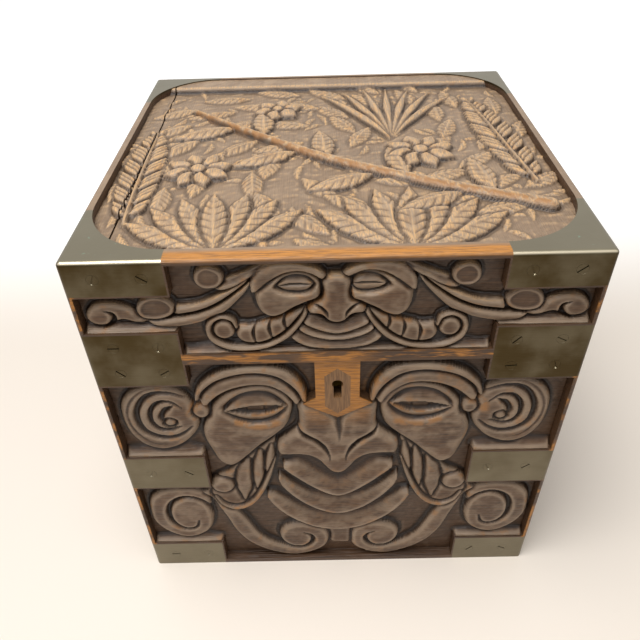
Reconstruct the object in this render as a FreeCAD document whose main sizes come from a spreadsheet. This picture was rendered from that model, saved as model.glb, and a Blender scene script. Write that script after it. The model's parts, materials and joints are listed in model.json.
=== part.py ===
"""Carved wooden box with a hinged lid, brass corner straps and a box lock.

Millimetres, +Z up, front towards -Y, origin at the middle of the underside.
The boards are lapped at the corners, the base sits in a rebate, the lid's top
board is tongued into its four rails, and brass straps are let in flush round
every corner. The main forms of the carving stand in sunk fields of the front, the
sides and the top.
"""
import FreeCAD
import Part
import Sketcher
import math
import os
import re

# Driving dimensions, in millimetres and degrees
SIZES = {
    # Box
    "box_width": "270",
    "box_depth": "260",
    "body_height": "206",
    "lid_height": "64",
    "wall": "18",
    "corner_lap": "11",
    "edge_round": "2.5",
    # Base board and its screws
    "base_thickness": "10",
    "base_rebate": "7",
    "base_screw_length": "20",
    "base_screw_along_front": "80",
    "base_screw_along_side": "60",
    # Lid top board
    "top_thickness": "16",
    "top_tongue": "6",
    "top_tongue_reach": "7",
    "top_tongue_lift": "2",
    "top_joint_gap": "0.8",
    # Sunk fields of the carving
    "ground_depth": "7.5",
    "field_edge_rim": "3",
    "field_low_rim": "4",
    "field_seam_rim": "4",
    "lid_field_rim": "3",
    "lid_field_wall": "3",
    "strap_land": "1",
    "top_ground_depth": "5.5",
    "top_rim_side": "5",
    "top_rim_front": "10.5",
    "top_rim_back": "5",
    "top_field_corner": "46",
    # Plaque left standing round the keyhole
    "plaque_neck": "25",
    "plaque_neck_drop": "32",
    "plaque_wing": "40",
    "plaque_wing_drop": "37",
    "plaque_tip_drop": "48.5",
    # Keyhole and its wooden inlay
    "keyhole_drop": "21.2",
    "keyhole_bow": "6.4",
    "keyhole_slot": "4.6",
    "keyhole_length": "14",
    "inlay_width": "14.6",
    "inlay_height": "36",
    "inlay_point": "6",
    "inlay_drop": "27",
    "inlay_thickness": "4",
    # Brass straps
    "strap_leg": "51",
    "strap_thickness": "1.6",
    "foot_strap_height": "26",
    "mid_strap_low": "93",
    "mid_strap_height": "29.5",
    "case_seam_strap_height": "19",
    "lid_seam_strap_height": "18",
    "bracket_drop": "20.5",
    # Strap screws
    "screw_head": "6",
    "screw_head_depth": "2.4",
    "screw_shank": "3",
    "screw_length": "10",
    "screw_tip": "3",
    "screw_slot_width": "0.8",
    "screw_slot_depth": "0.6",
    "screw_ease": "0.1",
    "screw_near": "16",
    "screw_far": "40",
    "screw_slot_turn": "52",
    # Small screws of the hinges and the lock
    "small_screw_head": "4.4",
    "small_screw_head_depth": "1.8",
    "small_screw_shank": "2.2",
    "small_screw_length": "9",
    # Hinges
    "hinge_centre": "58",
    "hinge_length": "46",
    "hinge_leaf_width": "12",
    "hinge_leaf_thickness": "1.4",
    "hinge_set_down": "0.1",
    "hinge_inset": "3.2",
    "hinge_screw_spread": "15",
    "knuckle_radius": "3",
    "knuckle_gap": "0.25",
    "hinge_pin_radius": "1.3",
    "hinge_pin_ease": "0.05",
    "lid_opening": "95",
    "bevel_ease": "1",
    # Lock
    "lock_width": "72",
    "lock_height": "38",
    "lock_plate": "1.5",
    "selvedge": "2",
    "lock_case_width": "58",
    "lock_case_height": "34",
    "lock_case_depth": "7",
    "lock_case_wall": "1",
    "lock_ease": "0.2",
    "lock_screw_edge": "3.5",
    "lock_screw_high": "17",
    "lock_screw_low": "31",
    "key_pin_radius": "1.2",
    "key_pin_length": "4",
    "link_width": "60",
    "link_thickness": "2",
    "link_screw_edge": "6",
    "staple_spread": "28",
    "staple_thickness": "3",
    "staple_width": "5",
    "staple_drop": "9.5",
    "staple_window": "3",
    "staple_window_high": "3.6",
    "staple_window_low": "8",
    "staple_ease": "0.5",
    "bolt_throw": "6",
    "bolt_thickness": "2.4",
    "bolt_bar_top": "10.5",
    "bolt_bar_height": "7.5",
    "bolt_neck": "4",
    "bolt_finger_high": "4",
    "bolt_finger_low": "7.6",
    "bolt_ease": "0.3",
    "bolt_talon": "6",
    "bolt_talon_depth": "2.5",
    "bolt_rest_width": "10",
    "spring_length": "9",
    "spring_thickness": "0.5",
    "spring_rise": "7.6",
    "spring_foot": "3",
    # One overrun serves every cut
    "overrun": "2",
}

doc = FreeCAD.newDocument("CarvedBox")
sheet = doc.addObject("Spreadsheet::Sheet", "Sizes")
for row, (alias, number) in enumerate(SIZES.items(), start=1):
    sheet.set(f"A{row}", alias)
    sheet.set(f"B{row}", number)
    sheet.setAlias(f"B{row}", alias)
doc.recompute()

ALIAS = re.compile(r"\b(" + "|".join(SIZES) + r")\b")

# Places that many pieces share, as formulas of the sheet's sizes
HALF_X = "(box_width / 2)"
HALF_Y = "(box_depth / 2)"
INNER_X = "(box_width / 2 - wall)"
INNER_Y = "(box_depth / 2 - wall)"
LAP_Y = "(box_depth / 2 - corner_lap)"
SEAM = "body_height"
TOP = "(body_height + lid_height)"
MID_TOP = "(mid_strap_low + mid_strap_height)"
HINGE_Y = "(box_depth / 2 - hinge_inset)"
LOCK_BACK = "(box_depth / 2 - wall + lock_plate)"
LOCK_FRONT = "(box_depth / 2 - wall + lock_plate + lock_case_depth)"
BOLT_Y = "(box_depth / 2 - wall + lock_plate + lock_case_depth / 2 - lock_case_wall / 2)"
KEY_Z = "(body_height - keyhole_drop)"

STRAP_SCREW = ("screw_head", "screw_head_depth", "screw_shank", "screw_length")
BASE_SCREW = ("screw_head", "screw_head_depth", "screw_shank", "base_screw_length")
SMALL_SCREW = ("small_screw_head", "small_screw_head_depth", "small_screw_shank", "small_screw_length")

SIDES = {"left": -1, "right": 1}
ENDS = {"front": -1, "back": 1}
CORNERS = [(end, side) for end in ENDS for side in SIDES]

# Outlines of the main carved forms, as shares of their field's reach across and of the height of
# the case or the lid, for the left half of a face. Edges follow one another round a form; a form
# of one edge is a smooth closed curve.
EAR_SHARES = ((
    (-0.97, 0.76), (-0.89, 0.875), (-0.795, 0.898), (-0.68, 0.87), (-0.62, 0.767), (-0.675, 0.67),
    (-0.82, 0.62), (-0.94, 0.67),
),)
EAR_GROOVE_SHARES = ((
    (-0.895, 0.767), (-0.85, 0.84), (-0.765, 0.86), (-0.69, 0.825), (-0.665, 0.762), (-0.705, 0.7),
    (-0.79, 0.68), (-0.865, 0.71),
),)
EAR_BOSS_SHARES = ((
    (-0.85, 0.767), (-0.82, 0.81), (-0.765, 0.825), (-0.72, 0.8), (-0.705, 0.762), (-0.735, 0.723),
    (-0.79, 0.714), (-0.833, 0.733),
),)
SCROLL_SHARES = (
    ((-0.69, 0.41), (-0.615, 0.32), (-0.58, 0.25), (-0.545, 0.175), (-0.48, 0.104), (-0.38, 0.05),
     (-0.26, 0.027), (-0.145, 0.04)),
    ((-0.15, 0.08), (-0.225, 0.078), (-0.3, 0.09), (-0.375, 0.117), (-0.43, 0.165), (-0.485, 0.25),
     (-0.535, 0.32), (-0.585, 0.38), (-0.635, 0.43)),
)
CORNER_SHARES = ((
    (-0.98, 0.29), (-0.96, 0.37), (-0.885, 0.42), (-0.78, 0.433), (-0.69, 0.417), (-0.655, 0.36),
    (-0.655, 0.26), (-0.68, 0.197), (-0.75, 0.158), (-0.83, 0.15), (-0.92, 0.185), (-0.97, 0.24),
),)
CORNER_GROOVE_SHARES = ((
    (-0.885, 0.285), (-0.86, 0.35), (-0.79, 0.382), (-0.72, 0.375), (-0.685, 0.33), (-0.68, 0.27),
    (-0.7, 0.225), (-0.76, 0.2), (-0.83, 0.205), (-0.875, 0.24),
),)
CORNER_BOSS_SHARES = ((
    (-0.855, 0.285), (-0.835, 0.335), (-0.785, 0.36), (-0.735, 0.35), (-0.71, 0.315), (-0.71, 0.27),
    (-0.73, 0.24), (-0.775, 0.222), (-0.82, 0.23), (-0.85, 0.255),
),)
CHIN_SHARES = ((
    (-0.045, 0.126), (-0.055, 0.175), (-0.1, 0.205), (-0.155, 0.22), (-0.22, 0.22), (-0.285, 0.2),
    (-0.32, 0.16), (-0.315, 0.115), (-0.27, 0.07), (-0.2, 0.042), (-0.11, 0.055),
),)
CHIN_GROOVE_SHARES = ((
    (-0.14, 0.13), (-0.155, 0.165), (-0.2, 0.185), (-0.25, 0.175), (-0.285, 0.145), (-0.275, 0.105),
    (-0.23, 0.08), (-0.17, 0.09),
),)
CHIN_BOSS_SHARES = ((
    (-0.165, 0.13), (-0.18, 0.155), (-0.215, 0.165), (-0.25, 0.152), (-0.262, 0.13), (-0.25, 0.11),
    (-0.22, 0.1), (-0.18, 0.108),
),)
BROW_SHARES = (
    ((-0.625, 0.845), (-0.6, 0.886), (-0.46, 0.953), (-0.28, 0.962), (-0.17, 0.915), (-0.13, 0.825)),
    ((-0.155, 0.825), (-0.22, 0.893), (-0.36, 0.93), (-0.515, 0.9), (-0.605, 0.835)),
)
LOWER_BROW_SHARES = (
    ((-0.595, 0.827), (-0.51, 0.888), (-0.36, 0.919), (-0.235, 0.888), (-0.17, 0.82)),
    ((-0.19, 0.806), (-0.25, 0.864), (-0.37, 0.888), (-0.5, 0.86), (-0.58, 0.806)),
)
FACE_SHARES = ((
    (-0.59, 0.75), (-0.617, 0.68), (-0.575, 0.568), (-0.508, 0.536), (-0.417, 0.587), (-0.292, 0.67),
    (-0.208, 0.757), (-0.21, 0.825), (-0.3, 0.875), (-0.44, 0.87), (-0.545, 0.81),
),)
CHEEK_SHARES = ((
    (-0.583, 0.735), (-0.603, 0.675), (-0.565, 0.575), (-0.508, 0.546), (-0.42, 0.597), (-0.305, 0.675),
    (-0.245, 0.723), (-0.356, 0.718), (-0.47, 0.735),
),)
EYE_SHARES = (
    ((-0.504, 0.789), (-0.42, 0.848), (-0.318, 0.847), (-0.227, 0.806)),
    ((-0.227, 0.806), (-0.292, 0.754), (-0.41, 0.744), (-0.504, 0.789)),
)
TEMPLE_SHARES = ((
    (-0.655, 0.78), (-0.635, 0.808), (-0.6, 0.81), (-0.585, 0.785), (-0.6, 0.76), (-0.635, 0.757),
),)
LOCK_SHARES = ((
    (-0.3, 0.655), (-0.37, 0.62), (-0.43, 0.58), (-0.5, 0.53), (-0.6, 0.48), (-0.64, 0.43), (-0.625, 0.37),
    (-0.575, 0.318), (-0.515, 0.307), (-0.44, 0.34), (-0.385, 0.41), (-0.335, 0.49), (-0.3, 0.56),
),)
WING_SHARES = ((
    (-0.197, 0.694), (-0.273, 0.658), (-0.29, 0.621), (-0.273, 0.587), (-0.19, 0.583), (-0.121, 0.57),
    (-0.076, 0.544), (-0.061, 0.592), (-0.098, 0.638), (-0.15, 0.67),
),)
LID_END_SHARES = ((
    (-0.735, 0.375), (-0.765, 0.477), (-0.818, 0.555), (-0.886, 0.59), (-0.943, 0.563), (-0.98, 0.477),
    (-0.977, 0.4), (-0.94, 0.348), (-0.886, 0.36), (-0.84, 0.398), (-0.788, 0.367),
),)
LID_BAND_SHARES = (
    ((-0.303, 0.875), (-0.4, 0.703), (-0.538, 0.563), (-0.644, 0.54)),
    ((-0.712, 0.34), (-0.576, 0.34), (-0.432, 0.47), (-0.34, 0.672), (-0.307, 0.773)),
)
LID_TAIL_SHARES = (
    ((-0.44, 0.77), (-0.318, 0.875), (-0.22, 0.93)),
    ((-0.28, 0.844), (-0.386, 0.72), (-0.5, 0.694)),
)
MOUSTACHE_SHARES = ((
    (-0.114, 0.492), (-0.182, 0.453), (-0.235, 0.398), (-0.34, 0.328), (-0.394, 0.328), (-0.409, 0.234),
    (-0.379, 0.14), (-0.303, 0.125), (-0.227, 0.203), (-0.167, 0.328),
),)
LID_FACE_SHARES = ((
    (-0.314, 0.656), (-0.31, 0.53), (-0.254, 0.403), (-0.167, 0.488), (-0.068, 0.586), (-0.053, 0.672),
    (-0.068, 0.78), (-0.144, 0.844), (-0.235, 0.805), (-0.295, 0.72),
),)
LID_CHEEK_SHARES = ((
    (-0.314, 0.64), (-0.31, 0.53), (-0.29, 0.445), (-0.254, 0.403), (-0.212, 0.425), (-0.167, 0.488),
    (-0.114, 0.544), (-0.075, 0.585), (-0.095, 0.63), (-0.152, 0.606), (-0.227, 0.633),
),)
LID_EYE_SHARES = (
    ((-0.227, 0.723), (-0.197, 0.784), (-0.154, 0.803), (-0.112, 0.781), (-0.086, 0.731)),
    ((-0.086, 0.731), (-0.112, 0.669), (-0.154, 0.647), (-0.197, 0.672), (-0.227, 0.723)),
)
LID_BROW_SHARES = (
    ((-0.327, 0.68), (-0.326, 0.766), (-0.299, 0.86), (-0.19, 0.925), (-0.064, 0.865), (-0.03, 0.805)),
    ((-0.045, 0.742), (-0.095, 0.828), (-0.14, 0.856), (-0.239, 0.784), (-0.307, 0.669)),
)
# Round ends of the lid's scrolls: middle and radius
LID_DISC_SHARES = (((-0.702, 0.522), 0.063), ((-0.451, 0.278), 0.066))
LID_TAIL_DISC_SHARES = ((-0.479, 0.806), 0.056)

# Forms that cross the middle, as their left halves, from the top of the middle round to its foot
NOSE_SHARES = (
    (0, 0.767), (-0.09, 0.8), (-0.165, 0.8), (-0.17, 0.735), (-0.13, 0.69), (-0.065, 0.64), (-0.035, 0.58),
    (-0.06, 0.535), (0, 0.49),
)
CHIN_BLOCK_SHARES = ((0, 0.2), (-0.04, 0.19), (-0.045, 0.1), (0, 0.088))
MOUTH_SHARES = (
    ((0, 0.47), (-0.068, 0.5), (-0.136, 0.544), (-0.19, 0.56), (-0.26, 0.545), (-0.235, 0.508),
     (-0.18, 0.468), (-0.114, 0.427), (-0.053, 0.397), (0, 0.386)),
    ((0, 0.372), (-0.053, 0.383), (-0.114, 0.412), (-0.18, 0.452), (-0.235, 0.487), (-0.285, 0.48),
     (-0.27, 0.433), (-0.212, 0.377), (-0.133, 0.325), (-0.06, 0.298), (0, 0.288)),
    ((0, 0.274), (-0.065, 0.285), (-0.14, 0.313), (-0.22, 0.365), (-0.28, 0.415), (-0.345, 0.395),
     (-0.337, 0.35), (-0.288, 0.298), (-0.216, 0.25), (-0.117, 0.21), (0, 0.192)),
)
LID_NOSE_SHARES = (
    (0, 0.828), (-0.034, 0.813), (-0.058, 0.75), (-0.055, 0.656), (-0.091, 0.547), (-0.116, 0.492),
    (-0.108, 0.434), (-0.064, 0.416), (-0.034, 0.353), (0, 0.331),
)
LID_MOUTH_SHARES = (
    ((0, 0.318), (-0.057, 0.36), (-0.106, 0.42), (-0.148, 0.431), (-0.155, 0.366), (-0.095, 0.3), (0, 0.268)),
    ((0, 0.25), (-0.091, 0.285), (-0.155, 0.352), (-0.167, 0.3), (-0.095, 0.215), (0, 0.185)),
    ((0, 0.15), (-0.1, 0.176), (-0.165, 0.225), (-0.182, 0.18), (-0.115, 0.1), (0, 0.07)),
)

# Heights of the forms, as shares of the field's depth
RISE_SHARES = {
    "ear": 0.68, "scroll": 0.72, "corner": 0.74, "chin": 0.76, "brow": 0.9, "lower_brow": 0.82, "face": 0.35,
    "cheek": 0.9, "eye": 0.76, "temple": 0.68, "lock": 0.78, "wing": 0.86, "nose": 0.9, "chin_block": 0.5,
    "mouth": 0.8, "disc": 0.7, "whorl": 0.48, "leaf": 0.78, "boss": 0.88, "petal": 0.84, "bank": 0.84,
    "bough": 0.88, "reed": 0.62, "fern": 0.55,
}

# Leaves that spring from one base: place of the base as shares of the field, heading and spread in
# degrees, number of leaves, and their length and half width as shares of the field's reach
SIDE_FAN_SHARES = (
    ((0, 0.272), 90, 140, 7, 0.6, 0.1),
    ((0, 0.79), -8, 40, 2, 0.45, 0.085),
    ((0, 0.79), 188, 40, 2, 0.45, 0.085),
)
SIDE_BLOSSOM_SHARES = ((0, 0.79), 8, 0.23)
LID_FAN_SHARES = (((0, 0.469), 8, 55, 2, 0.26, 0.069), ((0, 0.469), 172, 55, 2, 0.26, 0.069))
LID_BLOSSOM_SHARES = ((0, 0.469), 8, 0.18)
TOP_FAN_SHARES = (
    ((-0.47, -0.93), 96, 124, 7, 0.44, 0.066),
    ((0.3, -0.94), 86, 124, 7, 0.47, 0.07),
)
TOP_BLOSSOM_SHARES = (((0.43, -0.06), 8, 0.17), ((-0.62, -0.22), 8, 0.16), ((-0.28, 0.52), 6, 0.13))
TOP_FERN_SHARES = (((-0.86, -0.74), 92, 0.95, 0.12), ((0.9, -0.45), 97, 1.02, 0.12))
TOP_REED_SHARES = ((0.3, 0.12), 87, 50, 7, 0.66, 0.027)
BOUGH_SHARES = (
    ((0.91, -0.58), (0.46, -0.37), (0.015, -0.1), (-0.37, 0.22), (-0.71, 0.53)),
    ((-0.73, 0.5), (-0.4, 0.16), (-0.015, -0.17), (0.44, -0.45), (0.885, -0.67)),
)
BOUGH_SPRIG_SHARES = (
    ((0.7, -0.47), 100), ((0.34, -0.3), 100), ((-0.02, -0.1), 96), ((-0.34, 0.2), 94), ((0.55, -0.5), 206),
    ((0.18, -0.3), 206), ((-0.18, -0.04), 206), ((-0.5, 0.28), 202),
)
BOUGH_LEAF_SHARES = (0.28, 0.062)
BANK_SHARES = (((-1, 0.85), (1, 0.85)), ((1, 0.85), (1, 1)), ((1, 1), (-1, 1)), ((-1, 1), (-1, 0.85)))
# Low leaves that cover the ground of the top: their number, the turn from one to the next and their
# lean in degrees, and the reach, length and half width of the whole whorl and of a leaf
WHORL_LEAVES = 64
WHORL_TURN = 137.5
WHORL_LEAN = 65
WHORL_SHARES = (0.97, 0.25, 0.052)
# Sizes of a fan's boss, of a leaf's start from its base and of a blossom's eye and petals
FAN_BOSS_SHARE = 0.075
LEAF_START_SHARE = 0.035
BLOSSOM_EYE_SHARE = 0.3
PETAL_START_SHARE = 0.16
PETAL_WIDTH_SHARE = 0.3

# Share of the edge rounding within which an edge counts as lying on a face
TOUCH_SHARE = 0.001

nodes = {}


def sheet_formula(text):
    """The formula with every size named as a cell of the sheet."""
    return ALIAS.sub(r"Sizes.\1", text)


def bind(item, **formulas):
    """Bind properties of a document object to formulas of the sheet's sizes."""
    for name, text in formulas.items():
        item.setExpression(name.replace("__", "."), sheet_formula(text))
    return item


def measure(text):
    """The present value of a formula, for shapes that are not bound."""
    return float(sheet.evalExpression(text))


def signed(sign, text):
    """A place on the side of the middle that the sign gives."""
    return f"({text})" if sign > 0 else f"(-({text}))"


def span(sign, near, far):
    """Low and high place of a stretch that lies from near to far of the middle."""
    return (signed(1, near), signed(1, far)) if sign > 0 else (signed(-1, far), signed(-1, near))


def both(reach):
    """Low and high place of a stretch centred on the middle."""
    return (signed(-1, reach), signed(1, reach))


def keep(label, item):
    """Name an object as one sub-part of the box."""
    item.Label = label
    nodes[label] = item
    return item


def block(name, x, y, z):
    """A box between low and high formulas on the three axes."""
    item = doc.addObject("Part::Box", name)
    length, width, height = (f"({high}) - ({low})" for low, high in (x, y, z))
    bind(item, Length=length, Width=width, Height=height)
    return bind(item, Placement__Base__x=x[0], Placement__Base__y=y[0], Placement__Base__z=z[0])


def rod(name, axis, radius, start, length):
    """A cylinder along +X, -Y or +Z from a start point of three formulas."""
    item = doc.addObject("Part::Cylinder", name)
    turns = {
        "x": FreeCAD.Rotation(FreeCAD.Vector(0, 1, 0), 90),
        "-y": FreeCAD.Rotation(FreeCAD.Vector(1, 0, 0), 90),
        "z": FreeCAD.Rotation(),
    }
    item.Placement = FreeCAD.Placement(FreeCAD.Vector(), turns[axis])
    bind(item, Radius=radius, Height=length)
    return bind(item, Placement__Base__x=start[0], Placement__Base__y=start[1], Placement__Base__z=start[2])


def cut(name, base, *tools):
    """The base with each tool taken out in turn."""
    for count, tool in enumerate(tools):
        item = doc.addObject("Part::Cut", name if count == len(tools) - 1 else f"{name}_cut{count}")
        item.Base = base
        item.Tool = tool
        item.Refine = True
        base = item
    return base


def join(name, *items):
    """One solid of several that touch or overlap."""
    item = doc.addObject("Part::MultiFuse", name)
    item.Shapes = list(items)
    item.Refine = True
    return item


def gather(name, items):
    """Several solids that stay apart, as one tool."""
    item = doc.addObject("Part::Compound", name)
    item.Links = list(items)
    return item


def plate(name, plane, offset, points, thickness):
    """A body with one padded outline on an origin plane.

    The points are pairs of formulas on the plane's own axes. The XZ plane looks
    along -Y and the YZ plane along +X, and the pad grows that way from the offset.
    """
    body = doc.addObject("PartDesign::Body", name)
    sketch = body.newObject("Sketcher::SketchObject", f"{name}_outline")
    support = next(item for item in body.Origin.OriginFeatures if item.Role == plane)
    sketch.AttachmentSupport = [(support, "")]
    sketch.MapMode = "FlatFace"
    bind(sketch, AttachmentOffset__Base__z=offset)
    corners = [FreeCAD.Vector(measure(x), measure(y), 0) for x, y in points]
    for start, end in zip(corners, corners[1:] + corners[:1]):
        sketch.addGeometry(Part.LineSegment(start, end), False)
    for index, (x, y) in enumerate(points):
        before = (index - 1) % len(points)
        sketch.addConstraint(Sketcher.Constraint("Coincident", before, 2, index, 1))
        for kind, text, now in (("DistanceX", x, corners[index].x), ("DistanceY", y, corners[index].y)):
            number = sketch.addConstraint(Sketcher.Constraint(kind, -1, 1, index, 1, now))
            sketch.renameConstraint(number, f"{kind}{index}")
            sketch.setExpression(f"Constraints.{kind}{index}", sheet_formula(text))
    pad = body.newObject("PartDesign::Pad", f"{name}_pad")
    pad.Profile = sketch
    bind(pad, Length=thickness)
    return body


def turned(item):
    """The same piece on the other side of the box, half a turn about Z."""
    item.Placement = FreeCAD.Placement(FreeCAD.Vector(), FreeCAD.Rotation(FreeCAD.Vector(0, 0, 1), 180))
    return item


def rounded(name, base):
    """The base with each edge rounded that lies on two outer faces of the box, but not underneath."""
    base.recompute(True)
    planes = [
        ("X", -measure(HALF_X)), ("X", measure(HALF_X)),
        ("Y", -measure(HALF_Y)), ("Y", measure(HALF_Y)),
        ("Z", measure(TOP)),
    ]
    radius = measure("edge_round")
    near = radius * TOUCH_SHARE
    chosen = []
    for number, edge in enumerate(base.Shape.Edges, start=1):
        limits = edge.BoundBox
        ends = {axis: (getattr(limits, f"{axis}Min"), getattr(limits, f"{axis}Max")) for axis in "XYZ"}
        on = [place for axis, place in planes if all(abs(end - place) < near for end in ends[axis])]
        if len(on) >= 2:
            chosen.append((number, radius, radius))
    if not chosen:
        return base
    item = doc.addObject("Part::Fillet", name)
    item.Base = base
    item.Edges = chosen
    return item


def screw(head, head_depth, shank, length, ease=0.0, slot_turn=None):
    """A countersunk wood screw, head at the origin and point along +Z.

    With an ease it is the hole that clears the screw all round. A slot turn in
    degrees cuts the driver slot across the head.
    """
    tip = measure("screw_tip")
    radius = head / 2 + ease
    outline = [(0, 0), (radius, 0), (shank / 2 + ease, head_depth + ease),
               (shank / 2 + ease, length - tip), (0, length + ease)]
    points = [FreeCAD.Vector(across, 0, along) for across, along in outline]
    face = Part.Face(Part.makePolygon(points + points[:1]))
    solid = face.revolve(FreeCAD.Vector(), FreeCAD.Vector(0, 0, 1), 360)
    if slot_turn is None:
        return solid
    width = measure("screw_slot_width")
    corner = FreeCAD.Vector(-head, -width / 2, -measure("overrun"))
    slot = Part.makeBox(2 * head, width, measure("overrun + screw_slot_depth"), corner)
    slot.rotate(FreeCAD.Vector(), FreeCAD.Vector(0, 0, 1), slot_turn)
    return solid.cut(slot)


def screw_group(label, places, head, head_depth, shank, length):
    """A node of like screws and the tool that clears their holes.

    Each place is a point of three formulas and the unit direction that the screw
    is driven in.
    """
    sizes = [measure(text) for text in (head, head_depth, shank, length)]
    screws = []
    holes = []
    for count, (point, direction) in enumerate(places):
        where = FreeCAD.Placement(
            FreeCAD.Vector(*[measure(text) for text in point]),
            FreeCAD.Rotation(FreeCAD.Vector(0, 0, 1), FreeCAD.Vector(*direction)),
        )
        for shape, row in (
            (screw(*sizes, slot_turn=count * measure("screw_slot_turn")), screws),
            (screw(*sizes, ease=measure("screw_ease")), holes),
        ):
            shape.Placement = where
            row.append(shape)
    group = doc.addObject("Part::Feature", label)
    group.Shape = Part.makeCompound(screws)
    tool = doc.addObject("Part::Feature", f"{label}_holes")
    tool.Shape = Part.makeCompound(holes)
    keep(label, group)
    return tool


def strap_screw_places(end, side, height):
    """Two screws in each leg of one corner strap, driven square to the face."""
    across = SIDES[side]
    deep = ENDS[end]
    places = []
    for along in ("screw_near", "screw_far"):
        on_end = (signed(across, f"{HALF_X} - {along}"), signed(deep, HALF_Y), height)
        on_side = (signed(across, HALF_X), signed(deep, f"{HALF_Y} - {along}"), height)
        places += [(on_end, (0, -deep, 0)), (on_side, (-across, 0, 0))]
    return places


def end_board(name, end, low, high):
    """A front or back board over the full width, rebated at its ends for the sides."""
    sign = ENDS[end]
    blank = block(f"{name}_blank", both(HALF_X), span(sign, INNER_Y, HALF_Y), (low, high))
    board = rounded(f"{name}_board", blank)
    rebates = []
    for side, across in SIDES.items():
        rebates.append(block(
            f"{name}_{side}_rebate",
            span(across, INNER_X, f"{HALF_X} + overrun"),
            span(sign, f"{INNER_Y} - overrun", LAP_Y),
            (f"{low} - overrun", f"{high} + overrun"),
        ))
    return cut(f"{name}_lapped", board, gather(f"{name}_rebates", rebates))


def side_board(name, side, low, high):
    """A side board between the laps of the front and the back."""
    return rounded(
        f"{name}_board",
        block(f"{name}_blank", span(SIDES[side], INNER_X, HALF_X), both(LAP_Y), (low, high)),
    )


def field_outline(reach, strap_end, low, high, bands, middle=()):
    """Outline of a sunk field that steps in beside each strap.

    Each band is the low and high edge of a strap at the field's sides. The middle
    points, from the right edge to the centre, shape what is left standing at the top.
    """
    right = []
    level = low
    for bottom, top in bands:
        if bottom is None:
            right.append((strap_end, low))
        else:
            step = f"{bottom} - strap_land"
            right += [(reach, level), (reach, step), (strap_end, step)]
        if top is not None:
            level = f"{top} + strap_land"
            right.append((strap_end, level))
    right.append((strap_end, high))
    right += middle
    left = [(f"-({x})", y) for x, y in reversed(right) if x != "0"]
    return right + left


def mirrored(edges):
    """The same edges on the right half of a face."""
    return [[(-across, up) for across, up in edge] for edge in edges]


def whole(half):
    """The closed edge of a form that crosses the middle, from its left half."""
    return [list(half) + [(-across, up) for across, up in reversed(half[1:-1])]]


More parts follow.
